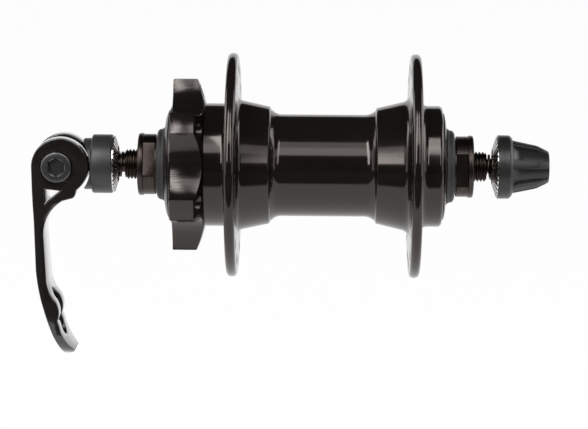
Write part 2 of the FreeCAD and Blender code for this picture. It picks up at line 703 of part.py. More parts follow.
def build_cap():
    body = new_body("skewer_cap")
    face = "left_grip + grip_ring_proud"
    shoulder = "%s + cap_length" % face
    end = "%s + cap_neck" % shoulder
    spring_floor = "%s + grip_ring_spigot" % face
    bore = "rod_dia / 2 + rod_gap"
    turned(body, "cap_round", [
        (bore, spring_floor),
        ("grip_ring_spigot_dia / 2 + fit_gap", spring_floor),
        ("grip_ring_spigot_dia / 2 + fit_gap", face),
        ("cap_dia / 2 - cap_chamfer / 2", face),
        ("cap_dia / 2", "%s + cap_chamfer" % face),
        ("cap_dia / 2", "%s - cap_chamfer" % shoulder),
        ("cap_dia / 2 - cap_chamfer / 2", shoulder),
        ("cap_neck_dia / 2", shoulder),
        ("cap_neck_dia / 2", "%s - cap_chamfer" % end),
        ("cap_neck_dia / 2 - cap_end_chamfer", end),
        (bore, end),
    ])
    cam_bottom = "pivot - cam_throw - cam_dia / 2 - saddle_gap"
    sketch = new_sketch(body, "saddle_round", "YZ_Plane")
    draw_circle(sketch, "%s + saddle_radius" % cam_bottom, "0", "2 * saddle_radius")
    cut_through(body, "saddle", sketch, both=True)


def build_grip_ring():
    body = new_body("cap_grip_ring")
    back = "left_grip + grip_ring_proud"
    turned(body, "grip_ring_round", [
        ("grip_ring_bore / 2", "left_grip"),
        ("cap_grip_dia / 2", grip_rim("cap", "left_grip")),
        ("cap_grip_dia / 2", back),
        ("grip_ring_spigot_dia / 2", back),
        ("grip_ring_spigot_dia / 2", "%s + grip_ring_spigot - fit_gap" % back),
        ("grip_ring_bore / 2", "%s + grip_ring_spigot - fit_gap" % back),
    ])
    serrate(body, "grip_ring_serrations", "left_grip")


def arc_from(start, way, end):
    """The arc that leaves start along way and ends at end."""
    chord = end - start
    bend = max(-1.0, min(1.0, way.dot(chord) / chord.Length))
    if bend > 1 - 1e-12:
        return Part.LineSegment(start, end).toShape()
    knee = start + way * (chord.Length / (2 * bend))
    middle = (start + knee * (2 * bend) + end) / (2 + 2 * bend)
    return Part.Arc(start, middle, end).toShape()


def two_arcs(start, way_out, end, way_in):
    """Two arcs with a common tangent that join start to end."""
    gap = end - start
    ways = way_out + way_in
    spread = 2 * (1 - way_out.dot(way_in))
    along = gap.dot(ways)
    reach = (math.sqrt(along * along + spread * gap.dot(gap)) - along) / spread
    knee = start + way_out * reach
    other_knee = end - way_in * reach
    middle = (knee + other_knee) / 2
    way = (other_knee - knee).normalize()
    return [arc_from(start, way_out, middle), arc_from(middle, way, end)]


def build_spring(label, turn):
    """A conical spring between the axle's end and the floor of the cap or nut."""
    wire = value("spring_wire")
    turns = value("spring_turns")
    small = value("spring_small / 2")
    large = value("spring_large / 2")
    seat = value("over_locknut / 2 + axle_stick_out + spring_seat_gap + spring_wire / 2")
    grip = "left_grip" if label == "left_spring" else "right_grip"
    floor = value("%s + grip_ring_proud + grip_ring_spigot - spring_seat_gap - spring_wire / 2" % grip)
    quarter_turns = int(round(turns * 4))

    def place(share):
        angle = 2 * math.pi * turns * share
        radius = small + (large - small) * share
        return Vector(radius * math.cos(angle), seat + (floor - seat) * share, radius * math.sin(angle))

    def heading(share):
        step = 1e-5
        return (place(share + step) - place(share - step)).normalize()

    shares = [k / quarter_turns for k in range(quarter_turns + 1)]
    edges = []
    for a, b in zip(shares, shares[1:]):
        edges += two_arcs(place(a), heading(a), place(b), heading(b))
    lead_in = place(0) - heading(0) * wire
    lead_out = place(1) + heading(1) * wire
    edges.insert(0, Part.LineSegment(lead_in, place(0)).toShape())
    edges.append(Part.LineSegment(place(1), lead_out).toShape())
    path = Part.Wire(edges)
    ring = Part.Wire(Part.Circle(lead_in, heading(0), wire / 2).toShape())
    sweep = Part.BRepOffsetAPI.MakePipeShell(path)
    sweep.add(ring)
    sweep.build()
    sweep.makeSolid()
    spring = doc.addObject("Part::Feature", label)
    spring.Label = label
    spring.Shape = sweep.shape()
    spring.Placement = Placement(Vector(0, 0, 0), turn)
    pieces.append(spring)
    dots = [place(k / (quarter_turns * 12)) for k in range(quarter_turns * 12 + 1)]
    least = min(
        (a - b).Length - wire
        for i, a in enumerate(dots)
        for b in dots[i + 24:]
    )
    print("%s: least gap to itself %.2f mm, length of wire %.1f mm" % (label, least, path.Length))
    if least <= 0.4:
        raise RuntimeError("%s is wound too tightly" % label)


def build_rod():
    body = new_body("skewer_rod")
    end = "-rod_end"
    turned(body, "rod_round", [
        ("0", end),
        ("rod_dia / 2 - cap_chamfer", end),
        ("rod_dia / 2", "%s + cap_chamfer" % end),
        ("rod_dia / 2", "pivot - pin_dia / 2 - pin_gap"),
        ("0", "pivot - pin_dia / 2 - pin_gap"),
    ])
    sketch = new_sketch(body, "eye_round", "YZ_Plane")
    draw_circle(sketch, "pivot", "0", "eye_dia")
    draw_circle(sketch, "pivot", "0", "(pin_dia + 2 * pin_gap)")
    padded(body, "eye", sketch, "eye_width")


def lever_side():
    """Side view of the arm and paddle: (along the axle, up) from the pivot."""
    outline = [
        ("arm_top + arm_edge", "0"),
        ("arm_top", "-arm_root_drop"),
        ("arm_top - arm_lean", "-arm_straight", "-arm_bend"),
        ("knee_reach", "-knee_drop", "-paddle_bend"),
        ("-tip_reach + tip_slope", "-tip_drop + tip_rise", "-tip_round"),
        ("-tip_reach", "-tip_drop"),
        ("-tip_reach - tip_thickness", "-tip_drop + tip_tilt"),
        ("-tip_reach - tip_thickness - tip_lip", "-tip_drop + tip_tilt + tip_rise", "paddle_hollow"),
        ("-bump_foot_reach", "-bump_foot_drop"),
        ("0", "-bump_notch_drop", "-bump_round"),
        ("bump_top_reach", "-bump_top_drop", "bump_hollow"),
        ("bump_start_reach", "-bump_start_drop"),
        ("arm_top - arm_lean / 2 - arm_thickness", "-arm_inner_drop", "arm_inner_bend"),
        ("-heel_reach", "-heel_drop"),
        ("-heel_reach - heel_length", "-heel_drop + heel_rise", "-heel_round"),
        ("-heel_end_reach", "-heel_end_drop"),
        ("-heel_top_reach", "-heel_top_drop"),
        ("-cam_throw", "0"),
    ]
    return [("pivot + (%s)" % corner[0],) + corner[1:] for corner in outline]


def lever_front():
    """Half outlines of the arm seen along the axle, as the stock that is left outside them."""
    half = "head_width / 2"
    middle = "fit_gap / 2"
    inner = [
        (half, "cam_dia"),
        (half, "-head_drop"),
        ("arm_width / 2", "-waist_drop"),
        ("paddle_width / 2", "-paddle_drop"),
        ("paddle_width / 2", "-tip_drop + paddle_point", "-paddle_end_round"),
        (middle, "-tip_drop"),
    ]
    outer = [
        (middle, "-tip_drop - trim_room"),
        ("paddle_width", "-tip_drop - trim_room"),
        ("paddle_width", "cam_dia"),
    ]
    return inner + outer


def build_lever():
    body = new_body("quick_release_lever")
    sketch = new_sketch(body, "cam_round", "YZ_Plane")
    draw_circle(sketch, "pivot - cam_throw", "0", "cam_dia")
    padded(body, "cam", sketch, "head_width")
    sketch = new_sketch(body, "lever_side_view", "YZ_Plane")
    draw_loop(sketch, lever_side())
    padded(body, "lever_arm", sketch, "paddle_width")
    for sign, flip in (("near", "-"), ("far", "")):
        sketch = new_sketch(body, "%s_edge" % sign, "XZ_Plane")
        corners = lever_front()
        if flip:
            corners = [("-(%s)" % corner[0], corner[1]) + tuple("-(%s)" % r for r in corner[2:])
                       for corner in corners]
        draw_loop(sketch, corners)
        cut_through(body, "%s_trim" % sign, sketch)
    sketch = new_sketch(body, "eye_room", "YZ_Plane")
    draw_loop(sketch, [
        ("pivot - cam_dia", "-eye_dia / 2 - eye_floor_gap"),
        ("pivot + cam_dia", "-eye_dia / 2 - eye_floor_gap"),
        ("pivot + cam_dia", "cam_dia"),
        ("pivot - cam_dia", "cam_dia"),
    ])
    cut_through(body, "eye_slot", sketch, both=True, depth="eye_width + 2 * eye_side_gap")
    sketch = new_sketch(body, "window", "YZ_Plane")
    draw_loop(sketch, [
        ("pivot + window_outer", "-window_top"),
        ("pivot - window_inner", "-window_inner_drop"),
        ("pivot + window_outer", "-window_foot"),
    ])
    cut_through(body, "window_cut", sketch, both=True)
    sketch = new_sketch(body, "pin_round", "YZ_Plane")
    draw_circle(sketch, "pivot", "0", "(pin_dia + 2 * fit_gap)")
    cut_through(body, "pin_bore", sketch, both=True)
    sketch = new_sketch(body, "screw_seat_round", "YZ_Plane", "-(head_width / 2 - screw_head_sunk)")
    draw_circle(sketch, "pivot", "0", "(screw_head_dia + 2 * fit_gap)")
    cut_through(body, "screw_seat", sketch)
    sketch = new_sketch(body, "nut_seat_hexagon", "YZ_Plane", "head_width / 2 - screw_head_sunk")
    draw_loop(sketch, [("pivot + " + a, b) for a, b in hexagon("(pivot_nut_flats + 2 * fit_gap)")])
    cut_through(body, "nut_seat", sketch, back=True)
    sketch = new_sketch(body, "paddle_slot_outline", "XZ_Plane")
    half = "paddle_slot / 2"
    end_round = "-%s - fit_gap / 2" % half
    draw_loop(sketch, [
        ("-" + half, "-paddle_slot_top - %s" % half, end_round),
        (half, "-paddle_slot_top - %s" % half),
        (half, "-paddle_slot_end + %s" % half, end_round),
        ("-" + half, "-paddle_slot_end + %s" % half),
    ])
    cut_through(body, "paddle_slot_cut", sketch)


def build_pivot_screw():
    body = new_body("pivot_screw")
    seat = "-(head_width / 2 - screw_head_sunk)"
    sketch = new_sketch(body, "screw_head_round", "YZ_Plane", "%s - screw_head / 2" % seat)
    draw_circle(sketch, "pivot", "0", "screw_head_dia")
    padded(body, "screw_head_disc", sketch, "screw_head")
    sketch = new_sketch(body, "shank_round", "YZ_Plane", "0")
    draw_circle(sketch, "pivot", "0", "pin_dia")
    padded(body, "shank", sketch, "head_width - screw_head_sunk")
    sketch = new_sketch(body, "socket_hexagon", "YZ_Plane", "%s - screw_head" % seat)
    draw_loop(sketch, [("pivot + " + a, b) for a, b in hexagon("screw_socket")])
    cut_through(body, "socket", sketch, back=True, depth="screw_socket_depth")


def build_pivot_nut():
    body = new_body("pivot_nut")
    seat = "head_width / 2 - screw_head_sunk"
    sketch = new_sketch(body, "nut_hexagon", "YZ_Plane", "%s + pivot_nut_height / 2" % seat)
    draw_loop(sketch, [("pivot + " + a, b) for a, b in hexagon("pivot_nut_flats")])
    draw_circle(sketch, "pivot", "0", "(pin_dia + 2 * fit_gap)")
    padded(body, "nut_block", sketch, "pivot_nut_height")


# Adjusting nut: local +Y points outwards, and the whole nut is turned round to the right end

NUT_FACE = "(right_grip + grip_ring_proud)"


def build_nut_insert():
    body = new_body("nut_grip_insert", TURNED_ROUND)
    floor = "%s + grip_ring_spigot" % NUT_FACE
    end = "%s + insert_length" % NUT_FACE
    bore = "rod_dia / 2 + thread_gap"
    turned(body, "insert_round", [
        (bore, floor),
        ("grip_ring_bore / 2", floor),
        ("grip_ring_bore / 2", "right_grip"),
        ("nut_grip_dia / 2", grip_rim("nut", "right_grip")),
        ("nut_grip_dia / 2", NUT_FACE),
        ("grip_ring_spigot_dia / 2", NUT_FACE),
        ("grip_ring_spigot_dia / 2", "%s + (grip_ring_spigot_dia - grip_ring_bore) / 2" % floor),
        ("insert_dia / 2", "%s + (grip_ring_spigot_dia - grip_ring_bore) / 2" % floor),
        ("insert_dia / 2", end),
        (bore, end),
    ])
    serrate(body, "insert_serrations", "right_grip")


def build_nut_body():
    turn = Rotation(ALONG_AXLE, -value("nut_turned"))
    body = new_body("adjusting_nut", turn.multiply(TURNED_ROUND))
    floor = "%s + grip_ring_spigot + (grip_ring_spigot_dia - grip_ring_bore) / 2 + fit_gap" % NUT_FACE
    ring_end = "%s + nut_ring" % NUT_FACE
    body_end = "%s + nut_body" % ring_end
    end = "%s + nut_tip" % body_end
    seat = "%s + insert_length + lock_ring + 2 * fit_gap" % NUT_FACE
    edge = "cap_chamfer / 2"
    turned(body, "nut_round", [
        ("grip_ring_spigot_dia / 2 + fit_gap", NUT_FACE),
        ("nut_ring_dia / 2 - %s" % edge, NUT_FACE),
        ("nut_ring_dia / 2", "%s + %s" % (NUT_FACE, edge)),
        ("nut_ring_dia / 2", "%s - nut_ring_chamfer" % ring_end),
        ("nut_ring_dia / 2 - nut_ring_chamfer", ring_end),
        ("nut_waist_dia / 2", ring_end),
        ("nut_neck_dia / 2", body_end),
        ("nut_tip_dia / 2", end),
        ("rod_dia / 2 + rod_gap", end),
        ("rod_dia / 2 + rod_gap", seat),
        ("insert_dia / 2 + fit_gap", seat),
        ("insert_dia / 2 + fit_gap", floor),
        ("grip_ring_spigot_dia / 2 + fit_gap", floor),
    ])
    sketch = new_sketch(body, "flute_section", "XY_Plane")
    draw_loop(sketch, [
        ("nut_waist_dia / 2", ring_end, "-flute_scoop_round"),
        ("flute_start_dia / 2", "%s + flute_scoop" % ring_end),
        ("flute_neck_dia / 2", "%s + flute_neck" % body_end),
        ("flute_end_dia / 2", end),
        ("nut_ring_dia", end),
        ("nut_ring_dia", ring_end),
    ])
    doc.recompute()
    flute = body.newObject("PartDesign::Groove", "flute")
    flute.Profile = sketch
    flute.ReferenceAxis = (sketch, ["V_Axis"])
    flute.Midplane = True
    flute.Angle = value("flute_angle")
    flute.setExpression("Angle", bound("flute_angle"))
    doc.recompute()
    ring_of(body, "flutes", flute, "nut_flutes")


def build_lock_ring():
    body = new_body("nut_lock_ring", TURNED_ROUND)
    start = "%s + insert_length + fit_gap" % NUT_FACE
    turned(body, "lock_ring_round", [
        ("rod_dia / 2 + thread_gap", start),
        ("insert_dia / 2", start),
        ("insert_dia / 2", "%s + lock_ring" % start),
        ("rod_dia / 2 + thread_gap", "%s + lock_ring" % start),
    ])


def build_all():
    build_axle()
    for side in ("left", "right"):
        build_cone(side)
        build_seal(side)
        build_washer(side)
        build_locknut(side)
        build_cup(side)
        build_dust_cap(side)
        build_balls(side)
        build_cage(side)
    build_shell()
    build_cap()
    build_grip_ring()
    build_spring("left_spring", UPRIGHT)
    build_rod()
    build_lever()
    build_pivot_screw()
    build_pivot_nut()
    build_spring("right_spring", TURNED_ROUND)
    build_nut_insert()
    build_nut_body()
    build_lock_ring()


def check_model():
    for item in doc.Objects:
        if "Invalid" in item.State or "Error" in item.State:
            raise RuntimeError("%s failed: %s" % (item.Label, item.State))
    for piece in pieces:
        if piece.Shape.isNull() or not piece.Shape.isValid():
            raise RuntimeError("%s has no sound shape" % piece.Label)


def write_parts():
    os.makedirs("parts", exist_ok=True)
    for piece in pieces:
        piece.Shape.exportStep("parts/%s.step" % piece.Label)
        box = piece.Shape.BoundBox
        print("%-22s solids %2d volume %9.1f  y %7.2f to %7.2f" % (
            piece.Label, len(piece.Shape.Solids), piece.Shape.Volume, box.YMin, box.YMax))


build_all()
doc.recompute()
check_model()
write_parts()
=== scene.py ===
# %% [markdown]
# # A disc brake hub
# The object is a front bicycle hub for a brake disc, with its quick release skewer.
# The measured model comes in as a fixed frame: every solid in it is already at its true place.
# The script dresses it: it models the pieces that the eye rests on again, with rounded
# edges, threads and teeth, and gives every surface a material made of nodes.
# The axle lies along Y, the lever and the disc mount are on the +Y side, and Z is up.

# %% Load the frame
import math

import bmesh
import bpy
from mathutils import Matrix, Vector


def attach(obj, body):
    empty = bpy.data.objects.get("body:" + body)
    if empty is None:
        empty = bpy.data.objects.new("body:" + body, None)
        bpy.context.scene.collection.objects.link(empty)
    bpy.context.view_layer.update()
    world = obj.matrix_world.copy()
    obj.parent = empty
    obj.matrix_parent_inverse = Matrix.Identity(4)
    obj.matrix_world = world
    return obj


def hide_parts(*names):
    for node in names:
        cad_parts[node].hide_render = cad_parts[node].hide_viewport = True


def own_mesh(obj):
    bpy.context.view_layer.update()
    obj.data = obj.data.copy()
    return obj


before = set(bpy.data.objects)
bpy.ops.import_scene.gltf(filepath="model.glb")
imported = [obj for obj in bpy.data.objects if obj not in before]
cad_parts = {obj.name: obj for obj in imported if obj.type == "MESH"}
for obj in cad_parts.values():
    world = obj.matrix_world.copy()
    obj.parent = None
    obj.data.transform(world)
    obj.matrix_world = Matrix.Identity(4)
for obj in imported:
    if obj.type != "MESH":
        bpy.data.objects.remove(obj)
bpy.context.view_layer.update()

MM = 0.001

# %% [markdown]
# ## Working by hand, in code
# Each operator works on what is selected, so everything is let go first, and then the
# vertices, edges or faces are picked by their place. These few helpers do the picking, and
# the steps that every piece needs: place its first shape, cut it, round its edges.

# %% Helpers for picking and shaping
SHARP = math.radians(32)


def let_go():
    if bpy.context.object and bpy.context.object.mode != "OBJECT":
        bpy.ops.object.mode_set(mode="OBJECT")
    bpy.ops.object.select_all(action="DESELECT")


def take(piece):
    let_go()
    piece.select_set(True)
    bpy.context.view_layer.objects.active = piece
    return piece


def named(name):
    """Names the new primitive and moves its place into its mesh."""
    piece = take(bpy.context.object)
    piece.name = name
    piece.data.name = name
    bpy.ops.object.transform_apply(location=True, rotation=True, scale=True)
    return piece


def pick(piece, wanted, kind="verts"):
    """Selects what wanted says yes to, in edit mode, and counts it."""
    mesh = bmesh.from_edit_mesh(piece.data)
    for group in (mesh.faces, mesh.edges, mesh.verts):
        for item in group:
            item.select = False
    found = [item for item in getattr(mesh, kind) if wanted(item)]
    for item in found:
        item.select = True
    mesh.select_flush_mode()
    bmesh.update_edit_mesh(piece.data)
    return len(found)


def edit(piece):
    take(piece)
    bpy.ops.object.mode_set(mode="EDIT")


def drawn(name, points):
    """A chain of edges through points in mm, made from one vertex and left in edit mode."""
    bpy.ops.mesh.primitive_plane_add(size=MM, location=[number * MM for number in points[0]])
    piece = named(name)
    edit(piece)
    bpy.ops.mesh.select_all(action="SELECT")
    bpy.ops.mesh.merge(type="CENTER")
    for before, after in zip(points, points[1:]):
        step = [(end - start) * MM for start, end in zip(before, after)]
        bpy.ops.mesh.extrude_region_move(TRANSFORM_OT_translate={"value": step})
    return piece


def tidy_mesh(piece, merge=0.5e-6):
    """Merges doubles and turns the faces outwards."""
    edit(piece)
    bpy.ops.mesh.select_all(action="SELECT")
    bpy.ops.mesh.remove_doubles(threshold=merge)
    bpy.ops.mesh.normals_make_consistent(inside=False)
    bpy.ops.object.mode_set(mode="OBJECT")


def apply(piece, modifier):
    take(piece)
    bpy.ops.object.modifier_apply(modifier=modifier.name)


def combine(piece, tool, operation):
    """Cuts, joins or trims the piece with a tool, and throws the tool away."""
    change = piece.modifiers.new("combine", "BOOLEAN")
    change.operation = operation
    change.solver = "EXACT"
    change.object = tool
    apply(piece, change)
    bpy.data.objects.remove(tool)


def cut(piece, tool):
    combine(piece, tool, "DIFFERENCE")


def join(piece, tool):
    combine(piece, tool, "UNION")


def trim(piece, tool):
    combine(piece, tool, "INTERSECT")


def break_edges(piece, width, segments=2):
    """Takes all the sharp edges off, as a tumbler does."""
    change = piece.modifiers.new("broken edges", "BEVEL")
    change.width = width * MM
    change.segments = segments
    change.limit_method = "ANGLE"
    change.angle_limit = SHARP
    change.use_clamp_overlap = False
    apply(piece, change)


def bevel_picked(piece, wanted, kind, width, segments):
    """Rounds only the wanted edges, or the edges of the wanted faces, as a file does."""
    edit(piece)
    count = pick(piece, wanted, kind)
    bpy.ops.mesh.bevel(offset=width * MM, segments=segments, affect="EDGES")
    bpy.ops.object.mode_set(mode="OBJECT")
    return count


def smooth(piece, angle=30):
    take(piece)
    bpy.ops.object.shade_smooth_by_angle(angle=math.radians(angle))
    return piece


def put_together(piece, other):
    """Makes one object of two closed bodies, without cutting either."""
    take(piece)
    other.select_set(True)
    bpy.ops.object.join()


def copies_round(tool, count):
    """The tool and its copies in a ring round the axle, joined as one object."""
    made = [tool]
    for number in range(1, count):
        twin = tool.copy()
        twin.data = tool.data.copy()
        bpy.context.collection.objects.link(twin)
        twin.data.transform(Matrix.Rotation(2 * math.pi * number / count, 4, "Y"))
        made.append(twin)
    let_go()
    for item in made:
        item.select_set(True)
    bpy.context.view_layer.objects.active = tool
    bpy.ops.object.join()
    return tool


# %% [markdown]
# ## Turning on a lathe
# Most of a hub is turned, so most pieces start as half of their section. The section is
# drawn as a chain: one vertex is extruded from corner to corner, and the corners that are
# rounded on the real piece are bevelled. Then the chain is spun once round the axle.
# A chain that starts and ends on the axis closes at its poles, any other is closed first.
# A plain cylinder could be scaled and inset instead, but a section is easier to read off a
# photograph and to change.

# %% Helper for turned pieces
LATHE_STEPS = 96
ARC_STEPS = 4
SAME_PLACE = 1e-7


def turned(name, corners, steps=LATHE_STEPS, centre=(0.0, 0.0)):
    """Spins (along the axle, radius) or (along, radius, rounding) corners, in mm."""
    across, up = centre
    piece = drawn(name, [(across, corner[0], up + corner[1]) for corner in corners])
    if corners[0][1] > 0:
        pick(piece, lambda vertex: len(vertex.link_edges) == 1)
        bpy.ops.mesh.edge_face_add()
    for corner in corners:
        if len(corner) == 3:
            spot = Vector((across, corner[0], up + corner[1])) * MM
            pick(piece, lambda vertex: (vertex.co - spot).length < SAME_PLACE)
            bpy.ops.mesh.bevel(offset=corner[2] * MM, segments=ARC_STEPS, affect="VERTICES")
    bpy.ops.mesh.select_all(action="SELECT")
    middle = (across * MM, 0, up * MM)
    bpy.ops.mesh.spin(steps=steps, angle=2 * math.pi, center=middle, axis=(0, 1, 0))
    bpy.ops.object.mode_set(mode="OBJECT")
    tidy_mesh(piece)
    return piece


def bar(name, radius, start, end, axis="Y", centre=(0, 0, 0), steps=LATHE_STEPS):
    """A round bar along X or Y that runs from start to end, as a tool or as stock."""
    turn = (0, math.pi / 2, 0) if axis == "X" else (math.pi / 2, 0, 0)
    spot = Vector(centre)
    spot["XYZ".index(axis)] = (start + end) / 2
    bpy.ops.mesh.primitive_cylinder_add(
        vertices=steps, radius=radius * MM, depth=(end - start) * MM,
        location=spot * MM, rotation=turn
    )
    return named(name)


def mirrored(corners):
    """The same corners at the other end of the axle."""
    return [(-corner[0],) + tuple(corner[1:]) for corner in corners]


print("Turned pieces get %d steps" % LATHE_STEPS)

# %% [markdown]
# ## The hub shell
# The shell is one forging, turned all over and anodised black. It has two thin spoke
# flanges, tapered shoulders that step down to the barrel, and on the left a mount with six
# lobes for the brake disc. It could be one section with everything cut from it, but the
# lobes' edges would then meet the flanges' roundings. So the body and the mount are turned
# apart, the mount gets its hollows and bolt holes, and then the two are joined.

# %% Turn the shell's body
LEFT_END = 40.3
RIGHT_END = 40.7
REGISTER_START = 36.0
REGISTER_RADIUS = 17.45
NECK_RADIUS = 18.4
COLLAR_RADIUS = 18.1
COLLAR_ROUND = 1.2
BARREL_RADIUS = 15.25
BARREL_ROUND = 1.2
FLANGE_RADIUS = 33.5
FLANGE_HALF = 1.55
LEFT_FLANGE = 21.8
RIGHT_FLANGE = -32.6
RIM_ROUND = 1.3
LEFT_ROOT_ROUND = 1.5
RIGHT_ROOT_ROUND = 2.2
SHOULDER_ROUND = 0.4
STEP_ROUND = 0.2
SHELL_MOUTH = 12.8
SHELL_BORE = 10.5
CUP_PLACE = 33.07
shell = turned("hub_shell_body", [
    (LEFT_END, SHELL_MOUTH),
    (LEFT_END, REGISTER_RADIUS, 0.3),
    (REGISTER_START, REGISTER_RADIUS),
    (REGISTER_START, NECK_RADIUS),
    (LEFT_FLANGE + FLANGE_HALF, NECK_RADIUS, LEFT_ROOT_ROUND),
    (LEFT_FLANGE + FLANGE_HALF, FLANGE_RADIUS, RIM_ROUND),
    (LEFT_FLANGE - FLANGE_HALF, FLANGE_RADIUS, RIM_ROUND),
    (LEFT_FLANGE - FLANGE_HALF, 19.6, LEFT_ROOT_ROUND),
    (10.75, 17.55, SHOULDER_ROUND),
    (10.45, 16.8, STEP_ROUND),
    (8.6, BARREL_RADIUS, BARREL_ROUND),
    (-18.9, BARREL_RADIUS, BARREL_ROUND),
    (-20.75, 16.5, STEP_ROUND),
    (-20.95, 17.3, SHOULDER_ROUND),
    (RIGHT_FLANGE + FLANGE_HALF, 19.7, RIGHT_ROOT_ROUND),
    (RIGHT_FLANGE + FLANGE_HALF, FLANGE_RADIUS, RIM_ROUND),
    (RIGHT_FLANGE - FLANGE_HALF, FLANGE_RADIUS, RIM_ROUND),
    (RIGHT_FLANGE - FLANGE_HALF, COLLAR_RADIUS, RIGHT_ROOT_ROUND),
    (-RIGHT_END, COLLAR_RADIUS, COLLAR_ROUND),
    (-RIGHT_END, SHELL_MOUTH),
    (-CUP_PLACE, SHELL_MOUTH),
    (-CUP_PLACE, SHELL_BORE),
    (CUP_PLACE, SHELL_BORE),
    (CUP_PLACE, SHELL_MOUTH),
], steps=128)
print("The shell is %.1f mm long" % (shell.dimensions.y / MM))

# %% [markdown]
# The spokes hook into holes that are countersunk on both faces of the flange, so that the
# bends of the spokes lie in them. One drill with two flared ends is copied round the flange.

# %% Drill the spoke holes
SPOKES_A_SIDE = 16
SPOKE_REACH = 29.0
HOLE = 1.3
FLARE = 0.45
PAST = 0.6
far = FLANGE_HALF + PAST
flared = HOLE + FLARE + PAST
for flange, offset in ((LEFT_FLANGE, 0.0), (RIGHT_FLANGE, math.pi / SPOKES_A_SIDE)):
    drill = turned("spoke_drill", [
        (flange - far, 0.0),
        (flange - far, flared),
        (flange - FLANGE_HALF + FLARE, HOLE),
        (flange + FLANGE_HALF - FLARE, HOLE),
        (flange + far, flared),
        (flange + far, 0.0),
    ], steps=24, centre=(SPOKE_REACH * math.cos(offset), SPOKE_REACH * math.sin(offset)))
    cut(shell, copies_round(drill, SPOKES_A_SIDE))
print("Drilled %d spoke holes" % (2 * SPOKES_A_SIDE))

# %% [markdown]
# The disc is bolted to a star of six lobes. The star could be drawn as an outline and
# extruded, but on the real hub a round blank is milled with a round cutter between the
# lobes, and the same two steps give the same curves here: a cone-backed ring is turned,
# and a ring of bars cuts the hollows and the bolt holes.

# %% Shape the mount for the brake disc
LOBES = 6
MOUNT_FACE = 39.6
MOUNT_RADIUS = 25.7
MOUNT_RIM = 32.4
MOUNT_FOOT = 29.0
MOUNT_INSIDE = 16.0
MOUNT_TURN = math.radians(-6.5)
HOLLOW_RADIUS, HOLLOW_REACH = 13.5, 33.0
BOLT_RADIUS, BOLT_REACH = 2.3, 22.0
THROUGH = (25.0, 45.0)
mount = turned("disc_mount", [
    (MOUNT_FACE, MOUNT_INSIDE),
    (MOUNT_FACE, MOUNT_RADIUS),
    (MOUNT_RIM, MOUNT_RADIUS),
    (MOUNT_FOOT, MOUNT_INSIDE),
], steps=180)


def on_circle(radius, turn):
    """A place on a circle round the axle, in mm."""
    return (radius * math.cos(turn), 0, radius * math.sin(turn))


hollow_place = on_circle(HOLLOW_REACH, MOUNT_TURN)
hollow = bar("hollow", HOLLOW_RADIUS, *THROUGH, centre=hollow_place, steps=128)
cut(mount, copies_round(hollow, LOBES))
bolt_place = on_circle(BOLT_REACH, MOUNT_TURN + math.pi / LOBES)
bolt_drill = bar("bolt_drill", BOLT_RADIUS, *THROUGH, centre=bolt_place, steps=48)
cut(mount, copies_round(bolt_drill, LOBES))
join(shell, mount)
tidy_mesh(shell)
print("The mount has %d lobes, %.1f mm across" % (LOBES, 2 * MOUNT_RADIUS))

# %% [markdown]
# The edges of the mount are broken after the two are joined, not before, so that the join
# meets plain faces. The sharp edges that stand out on the mount are picked by their place.

# %% Break the mount's edges
EDGES_FROM, EDGES_TO = 29.7, 39.65
EDGES_OUTSIDE = 18.2
EDGE_BREAK = 0.3


def on_mount_edge(item):
    middle = (item.verts[0].co + item.verts[1].co) / 2
    along, radius = middle.y / MM, middle.xz.length / MM
    sharp = len(item.link_faces) == 2 and item.calc_face_angle_signed() > SHARP
    return sharp and EDGES_FROM < along < EDGES_TO and radius > EDGES_OUTSIDE


count = bevel_picked(shell, on_mount_edge, "edges", EDGE_BREAK, 2)
smooth(shell)
print("Broke %d edges of the shell, which has %d faces" % (count, len(shell.data.polygons)))

# %% [markdown]
# ## Dust caps, seals and locknuts
# The dust caps are thin stamped rings that close the shell. The seals are rubber rings on
# the cones. The locknuts are turned from bar, with a collar, a countersunk thread and two
# flats for the spanner, so they are turned first and then cut with two blocks.

# %% Turn the dust caps and the seals
DOME = 3.8
CAP_RIM = 0.45
CAP_INNER_END = 39.68
CAP_SKIRT = 12.77
CAP_HOLE = 9.0
CAP_HOLE_BREAK = 0.3
FIT = 0.02
SEAL_GAP = 0.2
SEAL_OUT = 44.4
SEAL_BORE = 8.53


def dome(rim, start, rise):
    """Corners of the round shoulder from the rim's edge in to the flat face."""
    radius = (DOME * DOME + rise * rise) / (2 * rise)
    reach = math.asin(DOME / radius)
    corners = []
    for share in (1, 0.75, 0.5, 0.25, 0):
        drop = radius * (1 - math.cos(reach * share))
        corners.append((start + rise - drop, rim - DOME + radius * math.sin(reach * share)))
    return corners


def dust_cap_section(end, rim, flange):
    """A ring that sits in the shell with its flange on the shell's end."""
    return [
        (CAP_INNER_END, CAP_HOLE),
        (CAP_INNER_END, CAP_SKIRT),
        (end + FIT, CAP_SKIRT),
        (end + FIT, rim, 0.1),
    ] + dome(rim, end + CAP_RIM, flange - CAP_RIM) + [
        (end + flange, CAP_HOLE + CAP_HOLE_BREAK, 0.1),
        (end + flange - CAP_HOLE_BREAK, CAP_HOLE),
    ]


def seal_section(inner, rim):
    """A soft ring that narrows towards the locknut and ends in a round corner."""
    return [
        (inner, SEAL_BORE),
        (inner, rim, 0.2),
        (SEAL_OUT - 1.5, rim - 0.7, 0.3),
        (SEAL_OUT, rim - 0.75, 1.4),
        (SEAL_OUT, 8.9, 0.1),
        (SEAL_OUT, SEAL_BORE),
    ]


